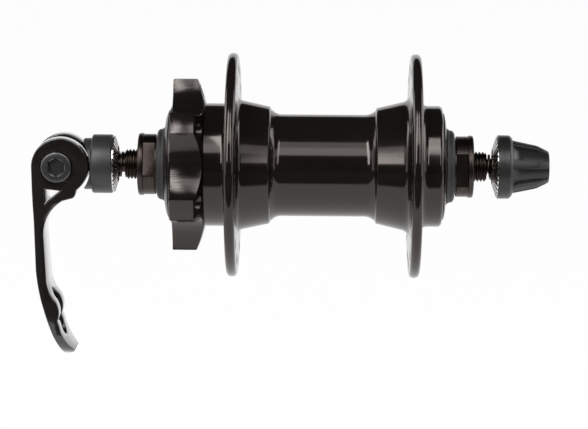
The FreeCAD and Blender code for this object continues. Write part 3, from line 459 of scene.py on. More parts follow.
LEFT_CAP_FLANGE = 1.5
RIGHT_CAP_FLANGE = 1.05
left_cap = dust_cap_section(LEFT_END, 16.4, LEFT_CAP_FLANGE)
right_cap = dust_cap_section(RIGHT_END, 16.0, RIGHT_CAP_FLANGE)
left_seal = seal_section(LEFT_END + LEFT_CAP_FLANGE + SEAL_GAP, 11.3)
right_seal = seal_section(RIGHT_END + RIGHT_CAP_FLANGE + SEAL_GAP, 11.5)
dust_caps = {
    "left": smooth(turned("left_dust_cap_ring", left_cap)),
    "right": smooth(turned("right_dust_cap_ring", mirrored(right_cap))),
}
seals = {
    "left": smooth(turned("left_seal_ring", left_seal)),
    "right": smooth(turned("right_seal_ring", mirrored(right_seal))),
}
print("Made %d rings" % (len(dust_caps) + len(seals)))

# %% Turn the locknuts and cut their flats
FLAT = 7.5
LOCKNUT_START = 44.8
LOCKNUT_RADIUS = 9.05
LOCKNUT_BORE = 4.53
LOCKNUT_BREAK = 0.12
COLLAR_START = 48.4
COLLAR_OUTSIDE = 9.3
DROPOUT_FACE = 50.0
BLOCK_START = 43.8
BLOCK_WIDE, BLOCK_HIGH = 6, 30
locknut_section = [
    (LOCKNUT_START, LOCKNUT_BORE),
    (LOCKNUT_START, LOCKNUT_RADIUS, 0.25),
    (COLLAR_START, LOCKNUT_RADIUS, 0.1),
    (COLLAR_START + 0.05, COLLAR_OUTSIDE, 0.15),
    (DROPOUT_FACE, COLLAR_OUTSIDE, 0.55),
    (DROPOUT_FACE, 5.1, 0.1),
    (DROPOUT_FACE - 0.5, LOCKNUT_BORE),
]


def locknut(side, section, turn):
    """A locknut, with its flats turned by so many degrees from upright."""
    nut = turned("%s_locknut_turned" % side, section)
    middle = (COLLAR_START + BLOCK_START) / 2 * (1 if side == "left" else -1)
    block_size = (BLOCK_WIDE * MM, (COLLAR_START - BLOCK_START) * MM, BLOCK_HIGH * MM)
    for way in (-1, 1):
        place = (way * (FLAT + BLOCK_WIDE / 2) * MM, middle * MM, 0)
        bpy.ops.mesh.primitive_cube_add(size=1, location=place, scale=block_size)
        block = named("flat_cutter")
        block.data.transform(Matrix.Rotation(math.radians(turn), 4, "Y"))
        cut(nut, block)
    break_edges(nut, LOCKNUT_BREAK)
    return smooth(nut)


locknuts = {
    "left": locknut("left", locknut_section, 19.0),
    "right": locknut("right", mirrored(locknut_section), -1.0),
}
left_face = max(vertex.co.y for vertex in locknuts["left"].data.vertices)
right_face = min(vertex.co.y for vertex in locknuts["right"].data.vertices)
print("The locknuts' faces are %.1f mm apart" % ((left_face - right_face) / MM))

# %% [markdown]
# ## Threads
# The ends of the axle and of the skewer rod carry real threads. A thread is one tooth drawn
# as a short chain and run round by the Screw modifier. It is made longer than needed, and a
# turned bar with a chamfer then trims it, so that it starts and ends as a cut thread does.
# The plain bar ends in a thinner neck inside the thread, as a lathe leaves an undercut. Bar
# and thread are each a closed body, and they are put together as one object at the end.

# %% Helper for threads
THREAD_STEPS = 40
TOOTH_DEPTH = 0.56
TOOTH_RISE, TOOTH_TOP, TOOTH_FALL = 0.1, 0.45, 0.62
PROUD = 0.01
MERGE = 1e-6


def threaded(name, radius, pitch, start, end, chamfer, bore=0.0, mouth=0.0):
    """A threaded bar from start to end along the axle, or a tube with flared mouths."""
    root = radius - TOOTH_DEPTH * pitch
    first = start - pitch * 1.5
    piece = drawn(name, [
        (0, first, root),
        (0, first + TOOTH_RISE * pitch, root),
        (0, first + TOOTH_TOP * pitch, radius),
        (0, first + TOOTH_FALL * pitch, radius),
        (0, first + pitch, root),
    ])
    bpy.ops.object.mode_set(mode="OBJECT")
    run = piece.modifiers.new("run", "SCREW")
    run.axis = "Y"
    run.steps = THREAD_STEPS
    run.render_steps = THREAD_STEPS
    run.screw_offset = pitch * MM
    run.iterations = int((end - start) / pitch) + 3
    run.use_merge_vertices = True
    run.merge_threshold = MERGE
    apply(piece, run)
    edit(piece)
    bpy.ops.mesh.select_all(action="SELECT")
    bpy.ops.mesh.remove_doubles(threshold=MERGE)
    bpy.ops.mesh.fill_holes(sides=0)
    bpy.ops.mesh.quads_convert_to_tris()
    bpy.ops.object.mode_set(mode="OBJECT")
    tidy_mesh(piece)
    outside = [
        (start, radius - chamfer),
        (start + chamfer, radius + PROUD),
        (end - chamfer, radius + PROUD),
        (end, radius - chamfer),
    ]
    first_inside = [(start + mouth, bore), (start, bore + mouth)] if bore else [(start, 0.0)]
    last_inside = [(end, bore + mouth), (end - mouth, bore)] if bore else [(end, 0.0)]
    trim(piece, turned("thread_trim", first_inside + outside + last_inside, steps=THREAD_STEPS))
    return piece


# %% [markdown]
# The axle is a tube, and only its ends show. So the thread is made at the two ends alone,
# from inside the locknuts outwards, and the hidden middle stays plain.

# %% Make the hollow axle
AXLE_END = 54.0
AXLE_RADIUS = 4.5
AXLE_BORE = 2.9
AXLE_PITCH = 1.0
AXLE_THREAD = 46.5
AXLE_NECK = 3.7
AXLE_PLAIN = AXLE_RADIUS - 0.05
NECK_FROM, NECK_TO = AXLE_THREAD - 0.4, AXLE_THREAD + 1.0
axle = turned("axle_threaded", [
    (-NECK_TO, 0.0),
    (-NECK_TO, AXLE_NECK),
    (-NECK_FROM, AXLE_NECK),
    (-NECK_FROM, AXLE_PLAIN),
    (NECK_FROM, AXLE_PLAIN),
    (NECK_FROM, AXLE_NECK),
    (NECK_TO, AXLE_NECK),
    (NECK_TO, 0.0),
], steps=64)
cut(axle, bar("axle_drill", AXLE_BORE, -AXLE_END - 1, AXLE_END + 1, steps=48))
for way in (1, -1):
    start, end = sorted((way * AXLE_THREAD, way * AXLE_END))
    thread = threaded(
        "axle_thread", AXLE_RADIUS, AXLE_PITCH, start, end, chamfer=0.6, bore=AXLE_BORE, mouth=0.4
    )
    put_together(axle, thread)
smooth(axle)
print("The axle has %d faces" % len(axle.data.polygons))

# %% [markdown]
# The rod runs through the axle and pulls the two ends of the skewer together. At the
# lever it has an eye for the pivot. The eye is a short disc, turned along the axle like
# all the rest, then laid on its side and joined to the rod.

# %% Make the skewer rod with its eye
PIVOT = 74.1
ROD_RADIUS = 2.5
ROD_PITCH = 0.8
ROD_END = -71.4
ROD_THREAD = -54.6
ROD_NECK = 1.8
ROD_PLAIN = ROD_RADIUS - 0.02
ROD_TOP = PIVOT - 4.6
EYE_RADIUS, EYE_HALF, EYE_BORE, EYE_ROUND = 5.2, 2.5, 3.26, 0.5
rod = turned("skewer_rod_bar", [
    (ROD_THREAD - 0.8, 0.0),
    (ROD_THREAD - 0.8, ROD_NECK),
    (ROD_THREAD + 0.3, ROD_NECK),
    (ROD_THREAD + 0.3, ROD_PLAIN),
    (ROD_TOP, ROD_PLAIN),
    (ROD_TOP, 0.0),
], steps=48)
eye = turned("rod_eye", [
    (-EYE_HALF, 0.0),
    (-EYE_HALF, EYE_RADIUS, EYE_ROUND),
    (EYE_HALF, EYE_RADIUS, EYE_ROUND),
    (EYE_HALF, 0.0),
], steps=64)
eye.data.transform(Matrix.Translation((0, PIVOT * MM, 0)) @ Matrix.Rotation(math.pi / 2, 4, "Z"))
join(rod, eye)
on_pivot = (0, PIVOT, 0)
cut(rod, bar("eye_drill", EYE_BORE, -4, 4, axis="X", centre=on_pivot, steps=64))
rod_thread = threaded("rod_thread", ROD_RADIUS, ROD_PITCH, ROD_END, ROD_THREAD, chamfer=0.5)
put_together(rod, rod_thread)
smooth(rod)
print("The rod is %.1f mm long" % (rod.dimensions.y / MM))

# %% [markdown]
# ## Springs
# A conical spring sits at each end, small on the axle's end and wide in the cap or the nut.
# The wire's line is a vertex extruded from point to point along a cone's helix. Made a
# curve, it takes a round bevel, which is the wire, and its ends are closed. The Screw
# modifier winds a helix too, but only one of even radius.

# %% Wind the springs
WIRE = 0.8
TURNS = 3
SPRING_START = 54.45
LEFT_SPRING_END = 58.6
RIGHT_SPRING_END = 58.2
SMALL_TURN, LARGE_TURN = 3.3, 4.3
POINTS_A_TURN = 40
SPRING_MERGE = 1e-8


def spring(name, end, way):
    """A spring from the axle's end out to its wide end, way 1 on the left and -1 on the right."""
    count = TURNS * POINTS_A_TURN
    line = []
    for number in range(count + 1):
        share = number / count
        angle = 2 * math.pi * TURNS * share
        radius = SMALL_TURN + (LARGE_TURN - SMALL_TURN) * share
        along = SPRING_START + (end - SPRING_START) * share
        line.append(Vector((way * radius * math.cos(angle), way * along, radius * math.sin(angle))))
    line.insert(0, line[0] + (line[0] - line[1]).normalized() * WIRE)
    line.append(line[-1] + (line[-1] - line[-2]).normalized() * WIRE)
    take(drawn(name, line))
    bpy.ops.object.convert(target="CURVE")
    wire = bpy.context.object
    wire.data.bevel_depth = WIRE / 2 * MM
    wire.data.bevel_resolution = 2
    wire.data.use_fill_caps = True
    bpy.ops.object.convert(target="MESH")
    wire = bpy.context.object
    tidy_mesh(wire, SPRING_MERGE)
    return smooth(wire, 50)


springs = {
    "left": spring("left_spring_wire", LEFT_SPRING_END, 1),
    "right": spring("right_spring_wire", RIGHT_SPRING_END, -1),
}
print("Each spring has %d faces" % len(springs["left"].data.polygons))

# %% [markdown]
# ## The skewer's cap and its serrated ring
# The cap is a moulding with a neck, hollowed as a saddle for the lever's round cam. A steel
# ring with radial teeth is set in its face to bite on the fork. The ring is turned with four
# steps to a tooth, and every fourth row of its face is pushed in.

# %% Make the cap
CAP_FACE = 57.65
CAP_SHOULDER = 63.9
CAP_END = 67.0
CAP_RADIUS = 8.8
NECK_OUTSIDE = 7.7
ROD_HOLE = 2.8
RING_SEAT = 6.73
SADDLE = 12.0
CAM_CENTRE = 1.0
CAM_DIAMETER = 17.1
CAM_GAP = 0.45
cap = turned("skewer_cap_moulding", [
    (CAP_FACE + 1.4, ROD_HOLE),
    (CAP_FACE + 1.4, RING_SEAT),
    (CAP_FACE, RING_SEAT),
    (CAP_FACE, CAP_RADIUS, 0.6),
    (CAP_SHOULDER, CAP_RADIUS, 0.6),
    (CAP_SHOULDER, NECK_OUTSIDE, 0.3),
    (CAP_END - 0.7, NECK_OUTSIDE, 0.3),
    (CAP_END, 6.5),
    (CAP_END, ROD_HOLE),
])
saddle_bottom = PIVOT - CAM_CENTRE - CAM_DIAMETER / 2 - CAM_GAP
saddle_middle = (0, saddle_bottom + SADDLE, 0)
cut(cap, bar("saddle_cutter", SADDLE, -12, 12, axis="X", centre=saddle_middle, steps=160))
tidy_mesh(cap)
smooth(cap)
neck_end = max(vertex.co.y for vertex in cap.data.vertices)
print("The cap's neck ends at %.2f mm" % (neck_end / MM))

# %% Make the serrated rings
TEETH = 32
ROWS = 4
RING_BORE = 5.4
RING_SHANK = 6.7
TOOTH_INNER = 5.8
RING_SLOPE = math.tan(math.radians(18.0))
GROOVE = 0.45
NEAR = 0.02


def cone_face(grip, radius, way):
    """Where the leaning face that starts at the bore has this radius, along the axle."""
    return grip + way * (radius - RING_BORE) * RING_SLOPE


def serrate(ring, grip, way):
    """Pushes every fourth row of the ring's leaning face inwards, so that teeth are left."""
    def in_groove(vertex):
        along, radius = vertex.co.y / MM, vertex.co.xz.length / MM
        row = math.atan2(vertex.co.z, vertex.co.x) / (2 * math.pi) * TEETH * ROWS
        on_face = abs(along - cone_face(grip, radius, way)) < NEAR
        return on_face and radius > RING_BORE + 0.2 and round(row) % ROWS == 2
    edit(ring)
    count = pick(ring, in_groove)
    bpy.ops.transform.translate(value=(0, way * GROOVE * MM, 0))
    bpy.ops.object.mode_set(mode="OBJECT")
    print("Cut %d teeth in %s by moving %d vertices" % (TEETH, ring.name, count))
    return smooth(ring, 20)


CAP_GRIP, CAP_GRIP_RIM = 56.15, 8.4
cap_ring = serrate(turned("cap_serrated_ring", [
    (CAP_GRIP, RING_BORE),
    (cone_face(CAP_GRIP, TOOTH_INNER, 1), TOOTH_INNER),
    (cone_face(CAP_GRIP, CAP_GRIP_RIM, 1), CAP_GRIP_RIM),
    (CAP_FACE, CAP_GRIP_RIM),
    (CAP_FACE, RING_SHANK),
    (CAP_FACE + 1.37, RING_SHANK),
    (CAP_FACE + 1.37, RING_BORE),
], steps=TEETH * ROWS), CAP_GRIP, 1)

# %% [markdown]
# ## The adjusting nut
# The nut is a moulding round a threaded steel insert. Past its base ring the body tapers,
# and six flutes for the fingers leave six ridges. A flute is the same all round, so its
# cutter is a section spun through only part of a turn, and then copied round. Fingers turn
# this nut, so the sharp edges that the flutes leave are rounded last.

# %% Make the insert and the nut
NUT_GRIP, NUT_GRIP_RIM = -55.75, 9.1
BASE_START = -57.25
BASE_END = -61.65
BODY_END = -69.15
NUT_END = -72.65
BASE_RADIUS = 9.5
BODY_RADIUS = 8.2
INSERT_BORE = 2.56
INSERT_SHANK = 4.3
INSERT_SEAT = 4.33
SEAT_END = -59.98
LOCK_RING_SEAT = -70.71
insert = serrate(turned("nut_serrated_insert", [
    (BASE_START - 1.4, INSERT_BORE),
    (BASE_START - 1.4, RING_BORE),
    (NUT_GRIP, RING_BORE),
    (cone_face(NUT_GRIP, TOOTH_INNER, -1), TOOTH_INNER),
    (cone_face(NUT_GRIP, NUT_GRIP_RIM, -1), NUT_GRIP_RIM),
    (BASE_START, NUT_GRIP_RIM),
    (BASE_START, RING_SHANK),
    (BASE_START - 2.7, RING_SHANK),
    (BASE_START - 2.7, INSERT_SHANK),
    (BASE_START - 12.0, INSERT_SHANK),
    (BASE_START - 12.0, INSERT_BORE),
], steps=TEETH * ROWS), NUT_GRIP, -1)

nut = turned("adjusting_nut_moulding", [
    (BASE_START, RING_SEAT),
    (BASE_START, BASE_RADIUS, 0.3),
    (BASE_END + 0.9, BASE_RADIUS, 0.3),
    (BASE_END, 8.6, 0.2),
    (BASE_END, BODY_RADIUS),
    (BODY_END, 6.6, 0.8),
    (NUT_END, 4.8, 0.5),
    (NUT_END, ROD_HOLE, 0.1),
    (LOCK_RING_SEAT, ROD_HOLE),
    (LOCK_RING_SEAT, INSERT_SEAT),
    (SEAT_END, INSERT_SEAT),
    (SEAT_END, RING_SEAT),
], steps=120)

FLUTES = 6
FLUTE_ANGLE = math.radians(39.0)
FLUTE_MIDDLE = math.radians(-16.0)
PAST_NUT = 12.0
flute_corners = [
    (BASE_END, PAST_NUT),
    (BASE_END, BODY_RADIUS),
    (BASE_END - 0.8, 7.25),
    (BASE_END - 1.9, 6.6),
    (BASE_END - 3.4, 6.2),
    (BODY_END - 1.05, 5.25),
    (NUT_END - 0.3, 4.5),
    (NUT_END - 0.3, PAST_NUT),
]


def flute_cutter():
    """The flute's section as a face on the camera's side, spun through the flute's angle."""
    tool = drawn("flute_cutter", [(-radius, along, 0) for along, radius in flute_corners])
    bpy.ops.mesh.select_all(action="SELECT")
    bpy.ops.mesh.edge_face_add()
    bpy.ops.mesh.spin(steps=8, angle=FLUTE_ANGLE, center=(0, 0, 0), axis=(0, 1, 0))
    bpy.ops.object.mode_set(mode="OBJECT")
    middle = sum((vertex.co for vertex in tool.data.vertices), Vector()) / len(tool.data.vertices)
    leaned = math.atan2(middle.z, -middle.x)
    tool.data.transform(Matrix.Rotation(FLUTE_MIDDLE - leaned, 4, "Y"))
    tidy_mesh(tool)
    return tool


cut(nut, copies_round(flute_cutter(), FLUTES))

# %% Round the nut's ridges
RIDGE_ROUND = 0.35
RIDGE_SHARP = math.radians(30)
RIDGE_INSIDE = 4.4


def on_ridge(item):
    """The sharp outer edges that the flutes leave."""
    middle = (item.verts[0].co + item.verts[1].co) / 2
    along, radius = middle.y / MM, middle.xz.length / MM
    sharp = len(item.link_faces) == 2 and item.calc_face_angle_signed() > RIDGE_SHARP
    return sharp and NUT_END + 0.2 < along < BASE_END - 0.05 and radius > RIDGE_INSIDE


count = bevel_picked(nut, on_ridge, "edges", RIDGE_ROUND, 3)
smooth(nut)
print("Rounded %d edges of the nut, which has %d faces" % (count, len(nut.data.polygons)))

# %% [markdown]
# ## The lever
# The lever is a forging whose outline, window and slot the measured model already has. It
# could be drawn again, but then the two would differ. So its mesh is copied, its loose
# triangles are merged and flat parts made whole, and the sharp edges are then rounded,
# which is what catches the light on the real one.

# %% Dress a copy of the lever
LEVER_MERGE = 2e-6
LEVER_FLAT = math.radians(1.0)
LEVER_ROUND = 0.35


def merged_copy(node, name):
    """A copy of a solid of the frame, with its loose triangles made into whole faces."""
    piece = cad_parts[node].copy()
    piece.data = piece.data.copy()
    bpy.context.collection.objects.link(piece)
    piece.parent = None
    piece.matrix_world = Matrix.Identity(4)
    piece.name = name
    piece.data.name = name
    edit(piece)
    bpy.ops.mesh.select_all(action="SELECT")
    bpy.ops.mesh.customdata_custom_splitnormals_clear()
    bpy.ops.mesh.remove_doubles(threshold=LEVER_MERGE)
    bpy.ops.mesh.mark_sharp(clear=True)
    bpy.ops.mesh.dissolve_limited(angle_limit=LEVER_FLAT)
    bpy.ops.object.mode_set(mode="OBJECT")
    return piece


lever = merged_copy("quick_release_lever", "lever_forging")
break_edges(lever, LEVER_ROUND, 3)
smooth(lever, 35)
print("The lever has %d faces" % len(lever.data.polygons))

# %% [markdown]
# ## The pivot's screw and nut
# A screw with a hexagon socket holds the lever to the rod, and a plain nut is on its far
# side. The head is a bar with a rounded face, and its socket is a six-sided bar with one
# corner down. The nut is such a bar too, and a round bar with a chamfer trims its corners.

# %% Make the pivot screw and its nut
HEAD_RADIUS, HEAD_FACE, HEAD_INSIDE = 4.6, -8.6, -6.0
SOCKET, SOCKET_BOTTOM = 5.0, -6.4
SHANK_RADIUS, SHANK_END = 3.2, 6.7
HEXAGON, HEXAGON_START, HEXAGON_END = 9.0, 6.0, 8.6
HALF_A_SIDE = math.pi / 6
MOUTH_OUTSIDE, MOUTH_INSIDE, MOUTH_DEPTH = 3.6, 2.2, 1.0


def hexagon_bar(name, flats, start, end):
    """A six-sided bar along X on the pivot, with one corner down."""
    bpy.ops.mesh.primitive_cylinder_add(
        vertices=6, radius=flats / math.sqrt(3) * MM, depth=(end - start) * MM,
        location=((start + end) / 2 * MM, PIVOT * MM, 0), rotation=(0, math.pi / 2, 0)
    )
    piece = named(name)
    lowest = min(piece.data.vertices, key=lambda vertex: vertex.co.z).co
    if abs(lowest.y - PIVOT * MM) > 0.01 * MM:
        spot = Matrix.Translation((0, PIVOT * MM, 0))
        piece.data.transform(spot @ Matrix.Rotation(HALF_A_SIDE, 4, "X") @ spot.inverted())
    return piece


screw = bar("screw_head", HEAD_RADIUS, HEAD_FACE, HEAD_INSIDE, axis="X", centre=on_pivot)
bevel_picked(screw, lambda face: face.normal.x < -0.9, "faces", 0.55, 3)
cut(screw, hexagon_bar("socket_cutter", SOCKET, HEAD_FACE - 0.4, SOCKET_BOTTOM))
bpy.ops.mesh.primitive_cone_add(
    vertices=64, radius1=MOUTH_OUTSIDE * MM, radius2=MOUTH_INSIDE * MM, depth=MOUTH_DEPTH * MM,
    location=((HEAD_FACE - 0.1) * MM, PIVOT * MM, 0), rotation=(0, math.pi / 2, 0)
)
cut(screw, named("socket_mouth"))
shank = bar("screw_shank", SHANK_RADIUS, SOCKET_BOTTOM, SHANK_END, "X", on_pivot, 64)
join(screw, shank)
screw.name = "pivot_socket_screw"
smooth(screw)
pivot_nut = hexagon_bar("pivot_hexagon_nut", HEXAGON, HEXAGON_START, HEXAGON_END)
rounder = bar("corner_rounder", 5.3, HEXAGON_START - 0.5, HEXAGON_END, "X", on_pivot)
bevel_picked(rounder, lambda face: face.normal.x > 0.9, "faces", 0.8, 1)
trim(pivot_nut, rounder)
cut(pivot_nut, bar("nut_bore", 3.23, 5, 10, axis="X", centre=on_pivot, steps=64))
smooth(pivot_nut)
print("The screw has %d faces" % len(screw.data.polygons))

# %% [markdown]
# ## Writing materials as sums
# A material's pattern is arithmetic on numbers that change over the surface. A small class
# wraps a socket, so that a sum or a product of two of them adds the Math node for it. One
# method of the finish adds any other node. What is the same all over goes on the shader.

# %% Helpers for materials


class Signal:
    """One output of a node. Arithmetic on it adds Math nodes."""

    def __init__(self, finish, socket):
        self.finish = finish
        self.socket = socket

    def maths(self, operation, first, second):
        node = self.finish.add("ShaderNodeMath", {"operation": operation}, {0: first, 1: second})
        return Signal(self.finish, node.outputs[0])

    def __add__(self, other):
        return self.maths("ADD", self, other)

    __radd__ = __add__

    def __mul__(self, other):
        return self.maths("MULTIPLY", self, other)

    __rmul__ = __mul__

    def __sub__(self, other):
        return self.maths("SUBTRACT", self, other)

    def __rsub__(self, other):
        return self.maths("SUBTRACT", other, self)

    def sine(self):
        return self.maths("SINE", self, 0.0)

    def root(self):
        return self.maths("SQRT", self, 0.0)


class Finish:
    """A material built from nodes, with its pattern in the piece's own coordinates."""

    def __init__(self, name, **constants):
        self.material = bpy.data.materials.new(name)
        self.material.use_nodes = True
        self.nodes = self.material.node_tree.nodes
        self.links = self.material.node_tree.links
        self.shader = self.nodes["Principled BSDF"]
        for socket, number in constants.items():
            self.shader.inputs[socket.replace("_", " ")].default_value = number
        self.here = self.add("ShaderNodeTexCoord").outputs["Object"]

    def add(self, kind, settings=None, inputs=None):
        """Adds a node: its settings come first, then the numbers or links of its sockets."""
        node = self.nodes.new(kind)
        for name, setting in (settings or {}).items():
            setattr(node, name, setting)
        for socket, given in (inputs or {}).items():
            self.feed(node.inputs[socket], given)
        return node

    def feed(self, socket, given):
        if isinstance(given, Signal):
            given = given.socket
        if isinstance(given, bpy.types.NodeSocket):
            self.links.new(given, socket)
        else:
            socket.default_value = given

    def noise(self, grain, detail=2.0, stretch=(1, 1, 1)):
        """Noise whose spots are about grain mm wide, stretched along the axes."""
        squeeze = [1 / way for way in stretch]
        size = self.add("ShaderNodeVectorMath", {"operation": "MULTIPLY"}, {0: self.here, 1: squeeze})
        inputs = {"Vector": size.outputs[0], "Scale": 1 / (grain * MM), "Detail": detail}
        node = self.add("ShaderNodeTexNoise", {}, inputs)
        return Signal(self, node.outputs[0])

    def place(self):
        """The three coordinates of the surface, in mm: across, along the axle and up."""
        size = self.add("ShaderNodeVectorMath", {"operation": "SCALE"}, {0: self.here, "Scale": 1 / MM})
        apart = self.add("ShaderNodeSeparateXYZ", {}, {0: size.outputs[0]})
        return [Signal(self, output) for output in apart.outputs]

    def clipped(self, signal, low, high):
        """0 where the signal is below low, 1 above high, and smooth between."""
        inputs = {"Value": signal, "From Min": low, "From Max": high}
        node = self.add("ShaderNodeMapRange", {"interpolation_type": "SMOOTHSTEP"}, inputs)
        return Signal(self, node.outputs[0])

    def mixed(self, share, first, second):
        """The first colour, going to the second as share goes to 1."""
        node = self.add("ShaderNodeMix", {"data_type": "RGBA"}, {0: share, 6: first, 7: second})
        return node.outputs[2]

    def done(self, colour, roughness, height=None, depth=0.0):
        """Links the pattern to the shader, with a height of 0 to 1 as relief of so many mm."""
        self.feed(self.shader.inputs["Base Color"], colour)
        self.feed(self.shader.inputs["Roughness"], roughness)
        if height is not None:
            inputs = {"Height": height, "Distance": depth * MM, "Strength": 1.0}
            relief = self.add("ShaderNodeBump", {}, inputs)
            self.feed(self.shader.inputs["Normal"], relief.outputs[0])
        return self.material


def shade(red, green, blue):
    return (red, green, blue, 1.0)


print("The material helpers are ready")

# %% [markdown]
# ## The finishes
# The shell is anodised glossy black, with a faint ripple and a warm tint. Its disc mount is
# the same black over milled metal: duller, with streaks along the cut and fine turning
# lines. One material holds both, and two masks, one along the axle and one by the distance
# from it, say where the mount is. Two materials would need the faces sorted by hand.

# %% Glossy and machined black of the shell
WARM = shade(1.0, 0.9, 0.85)
MASK_FROM, MASK_TO = 0.1, 0.3


def from_axle(finish):
    """The place along the axle and the distance from it, in mm."""
    across, along, up = finish.place()
    return along, (across * across + up * up).root()


def shell_black():
    finish = Finish("shell_anodised_black", Specular_IOR_Level=0.65, Specular_Tint=WARM)
    along, radius = from_axle(finish)
    beyond_foot = finish.clipped(along, MOUNT_FOOT + MASK_FROM, MOUNT_FOOT + MASK_TO)
    outside_neck = finish.clipped(radius, NECK_RADIUS + MASK_FROM, NECK_RADIUS + MASK_TO)
    mount = beyond_foot * outside_neck
    cloud = finish.noise(9.0)
    ripple = finish.noise(1.4)
    turning = ((along + radius) * 18.0 + finish.noise(6.0) * 3.0).sine()
    milling = finish.noise(0.5, 3.0, stretch=(1, 8, 1))
    spots = finish.noise(0.8, 4.0)
    gloss = finish.mixed(cloud, shade(0.0050, 0.0036, 0.0030), shade(0.0080, 0.0059, 0.0050))
    matte = finish.mixed(spots, shade(0.0036, 0.0028, 0.0024), shade(0.0085, 0.0068, 0.0060))
    colour = finish.mixed(mount, gloss, matte)
    rough = 0.09 + cloud * 0.05 + mount * milling * 0.09
    relief = ripple * (1 - mount) * 0.3 + (turning * 0.3 + milling) * mount
    return finish.done(colour, rough, relief, 0.008)


def dust_cap_black():
    """Black on a stamped ring, with the faint rings of its tool."""
    finish = Finish("dust_cap_black", Specular_IOR_Level=0.5, Specular_Tint=WARM)
    rings = (from_axle(finish)[1] * 22.0).sine()
    spots = finish.noise(2.0, 3.0)
    colour = finish.mixed(spots, shade(0.0035, 0.0030, 0.0028), shade(0.0070, 0.0062, 0.0058))
    return finish.done(colour, 0.2 + finish.noise(3.0) * 0.1, rings * 0.5, 0.004)


# %% [markdown]
# Most steel pieces carry a thin brown-black oxide over turned metal. The tool leaves fine
# lines round each piece, so the noise is stretched across the axle and stays short along
# it. Bearings, plating and the screw are bare steel with finer lines.

# %% Oxide, steel and plated finishes


def oxide_steel(name, dark, light, rough):
    """Brown-black oxide on turned steel: streaks run round the piece and across its flats."""
    finish = Finish(name, Metallic=1.0)
    streaks = finish.noise(0.25, 3.0, stretch=(8, 1, 8))
    spots = finish.noise(1.6, 3.0)
    colour = finish.mixed(streaks * 0.7 + spots * 0.3, dark, light)
    return finish.done(colour, rough + streaks * 0.12, streaks, 0.012)


def turned_steel(name, dark, light, rough, grain=1.2):
    """Bare steel with very fine turning lines."""
    finish = Finish(name, Metallic=1.0)
    lines = finish.noise(0.12, 2.0, stretch=(10, 1, 10))
    colour = finish.mixed(finish.noise(grain, 3.0), dark, light)
    return finish.done(colour, rough + lines * 0.1, lines, 0.004)


# %% [markdown]
# The cap, the nut, the seals and the lock ring are moulded, and a mould leaves a fine
# grain, so one function makes them all. The lever is a smooth black forging under a clear
# coat. A mask by height paints its hanging end a little paler, as painted light, and makes
# it duller there.

# %% Mouldings, rubber and lever
PAINTED_LIGHT_FROM, PAINTED_LIGHT_TO = 46.0, 55.0


def moulding(name, dark, light, rough, grain=0.22, relief=0.02):
    """A moulded surface with the fine grain of its mould."""
    finish = Finish(name, Specular_IOR_Level=0.5)
    fine = finish.noise(grain, 3.0)
    cloud = finish.noise(4.0)
    colour = finish.mixed(fine * 0.5 + cloud * 0.5, dark, light)
    return finish.done(colour, rough + cloud * 0.1, fine, relief)


def lever_black():
    """A coated forging whose hanging end is painted paler as painted light, and made duller."""
    finish = Finish("lever_forged_black", Specular_IOR_Level=0.5, Coat_Weight=1.0, Coat_Roughness=0.04)
    up = finish.place()[2]
    fine = finish.noise(0.35, 3.0)
    cloud = finish.noise(7.0)
    # painted light: a mask over the hanging end, from 46 to 55 mm under the axle
    painted_light_end = finish.clipped(0 - up, PAINTED_LIGHT_FROM, PAINTED_LIGHT_TO)
    base = finish.mixed(cloud, shade(0.0060, 0.0045, 0.0038), shade(0.0095, 0.0073, 0.0063))
    # painted light: the hanging end is mixed halfway to a paler grey
    colour = finish.mixed(painted_light_end * 0.5, base, shade(0.014, 0.0134, 0.013))
    return finish.done(colour, 0.14 + cloud * 0.06 + painted_light_end * 0.08, fine, 0.006)


SHELL = shell_black()
DUST_CAP = dust_cap_black()
OXIDE = oxide_steel("locknut_oxide", shade(0.018, 0.0145, 0.013), shade(0.1, 0.08, 0.072), rough=0.26)
THREAD = oxide_steel("thread_oxide", shade(0.022, 0.016, 0.0135), shade(0.095, 0.07, 0.058), rough=0.28)
SPRING = oxide_steel("spring_oxide", shade(0.022, 0.017, 0.0145), shade(0.1, 0.077, 0.064), rough=0.26)
SCREW = turned_steel("screw_dark_steel", shade(0.1, 0.1, 0.098), shade(0.17, 0.168, 0.165), 0.3)
BEARING = turned_steel("bearing_steel", shade(0.5, 0.49, 0.47), shade(0.6, 0.59, 0.57), 0.16)
PLATED = turned_steel("serrated_plating", shade(0.6, 0.59, 0.57), shade(0.8, 0.79, 0.77), 0.14, grain=0.5)
CAGE = turned_steel("cage_steel", shade(0.42, 0.41, 0.39), shade(0.52, 0.51, 0.5), 0.3)
RUBBER = moulding("seal_rubber", shade(0.012, 0.012, 0.012), shade(0.022, 0.021, 0.021), 0.5, relief=0.03)
CAP_SATIN = moulding("cap_satin", shade(0.017, 0.0175, 0.0172), shade(0.034, 0.0345, 0.0335), 0.32)
NUT_SATIN = moulding("nut_satin", shade(0.010, 0.0096, 0.0094), shade(0.017, 0.0164, 0.016), 0.28)
NYLON = moulding("lock_ring_nylon", shade(0.7, 0.69, 0.66), shade(0.78, 0.77, 0.74), 0.45, grain=0.6)
LEVER = lever_black()
print("Made %d materials" % len(bpy.data.materials))

# %% [markdown]
# ## Putting the pieces on their bodies
# Every new piece takes a finish, rides on the body that its solid belongs to and stands for
# that solid. The right spring rides on the nut's carrier, with a mesh of its own. Bearings,
# washers and the lock ring keep their measured solids and only take a finish.


def finish_piece(piece, material, body, node):
    """Gives a new piece its finish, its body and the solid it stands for."""
    piece.data.materials.clear()
    piece.data.materials.append(material)
    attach(piece, body)
    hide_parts(node)


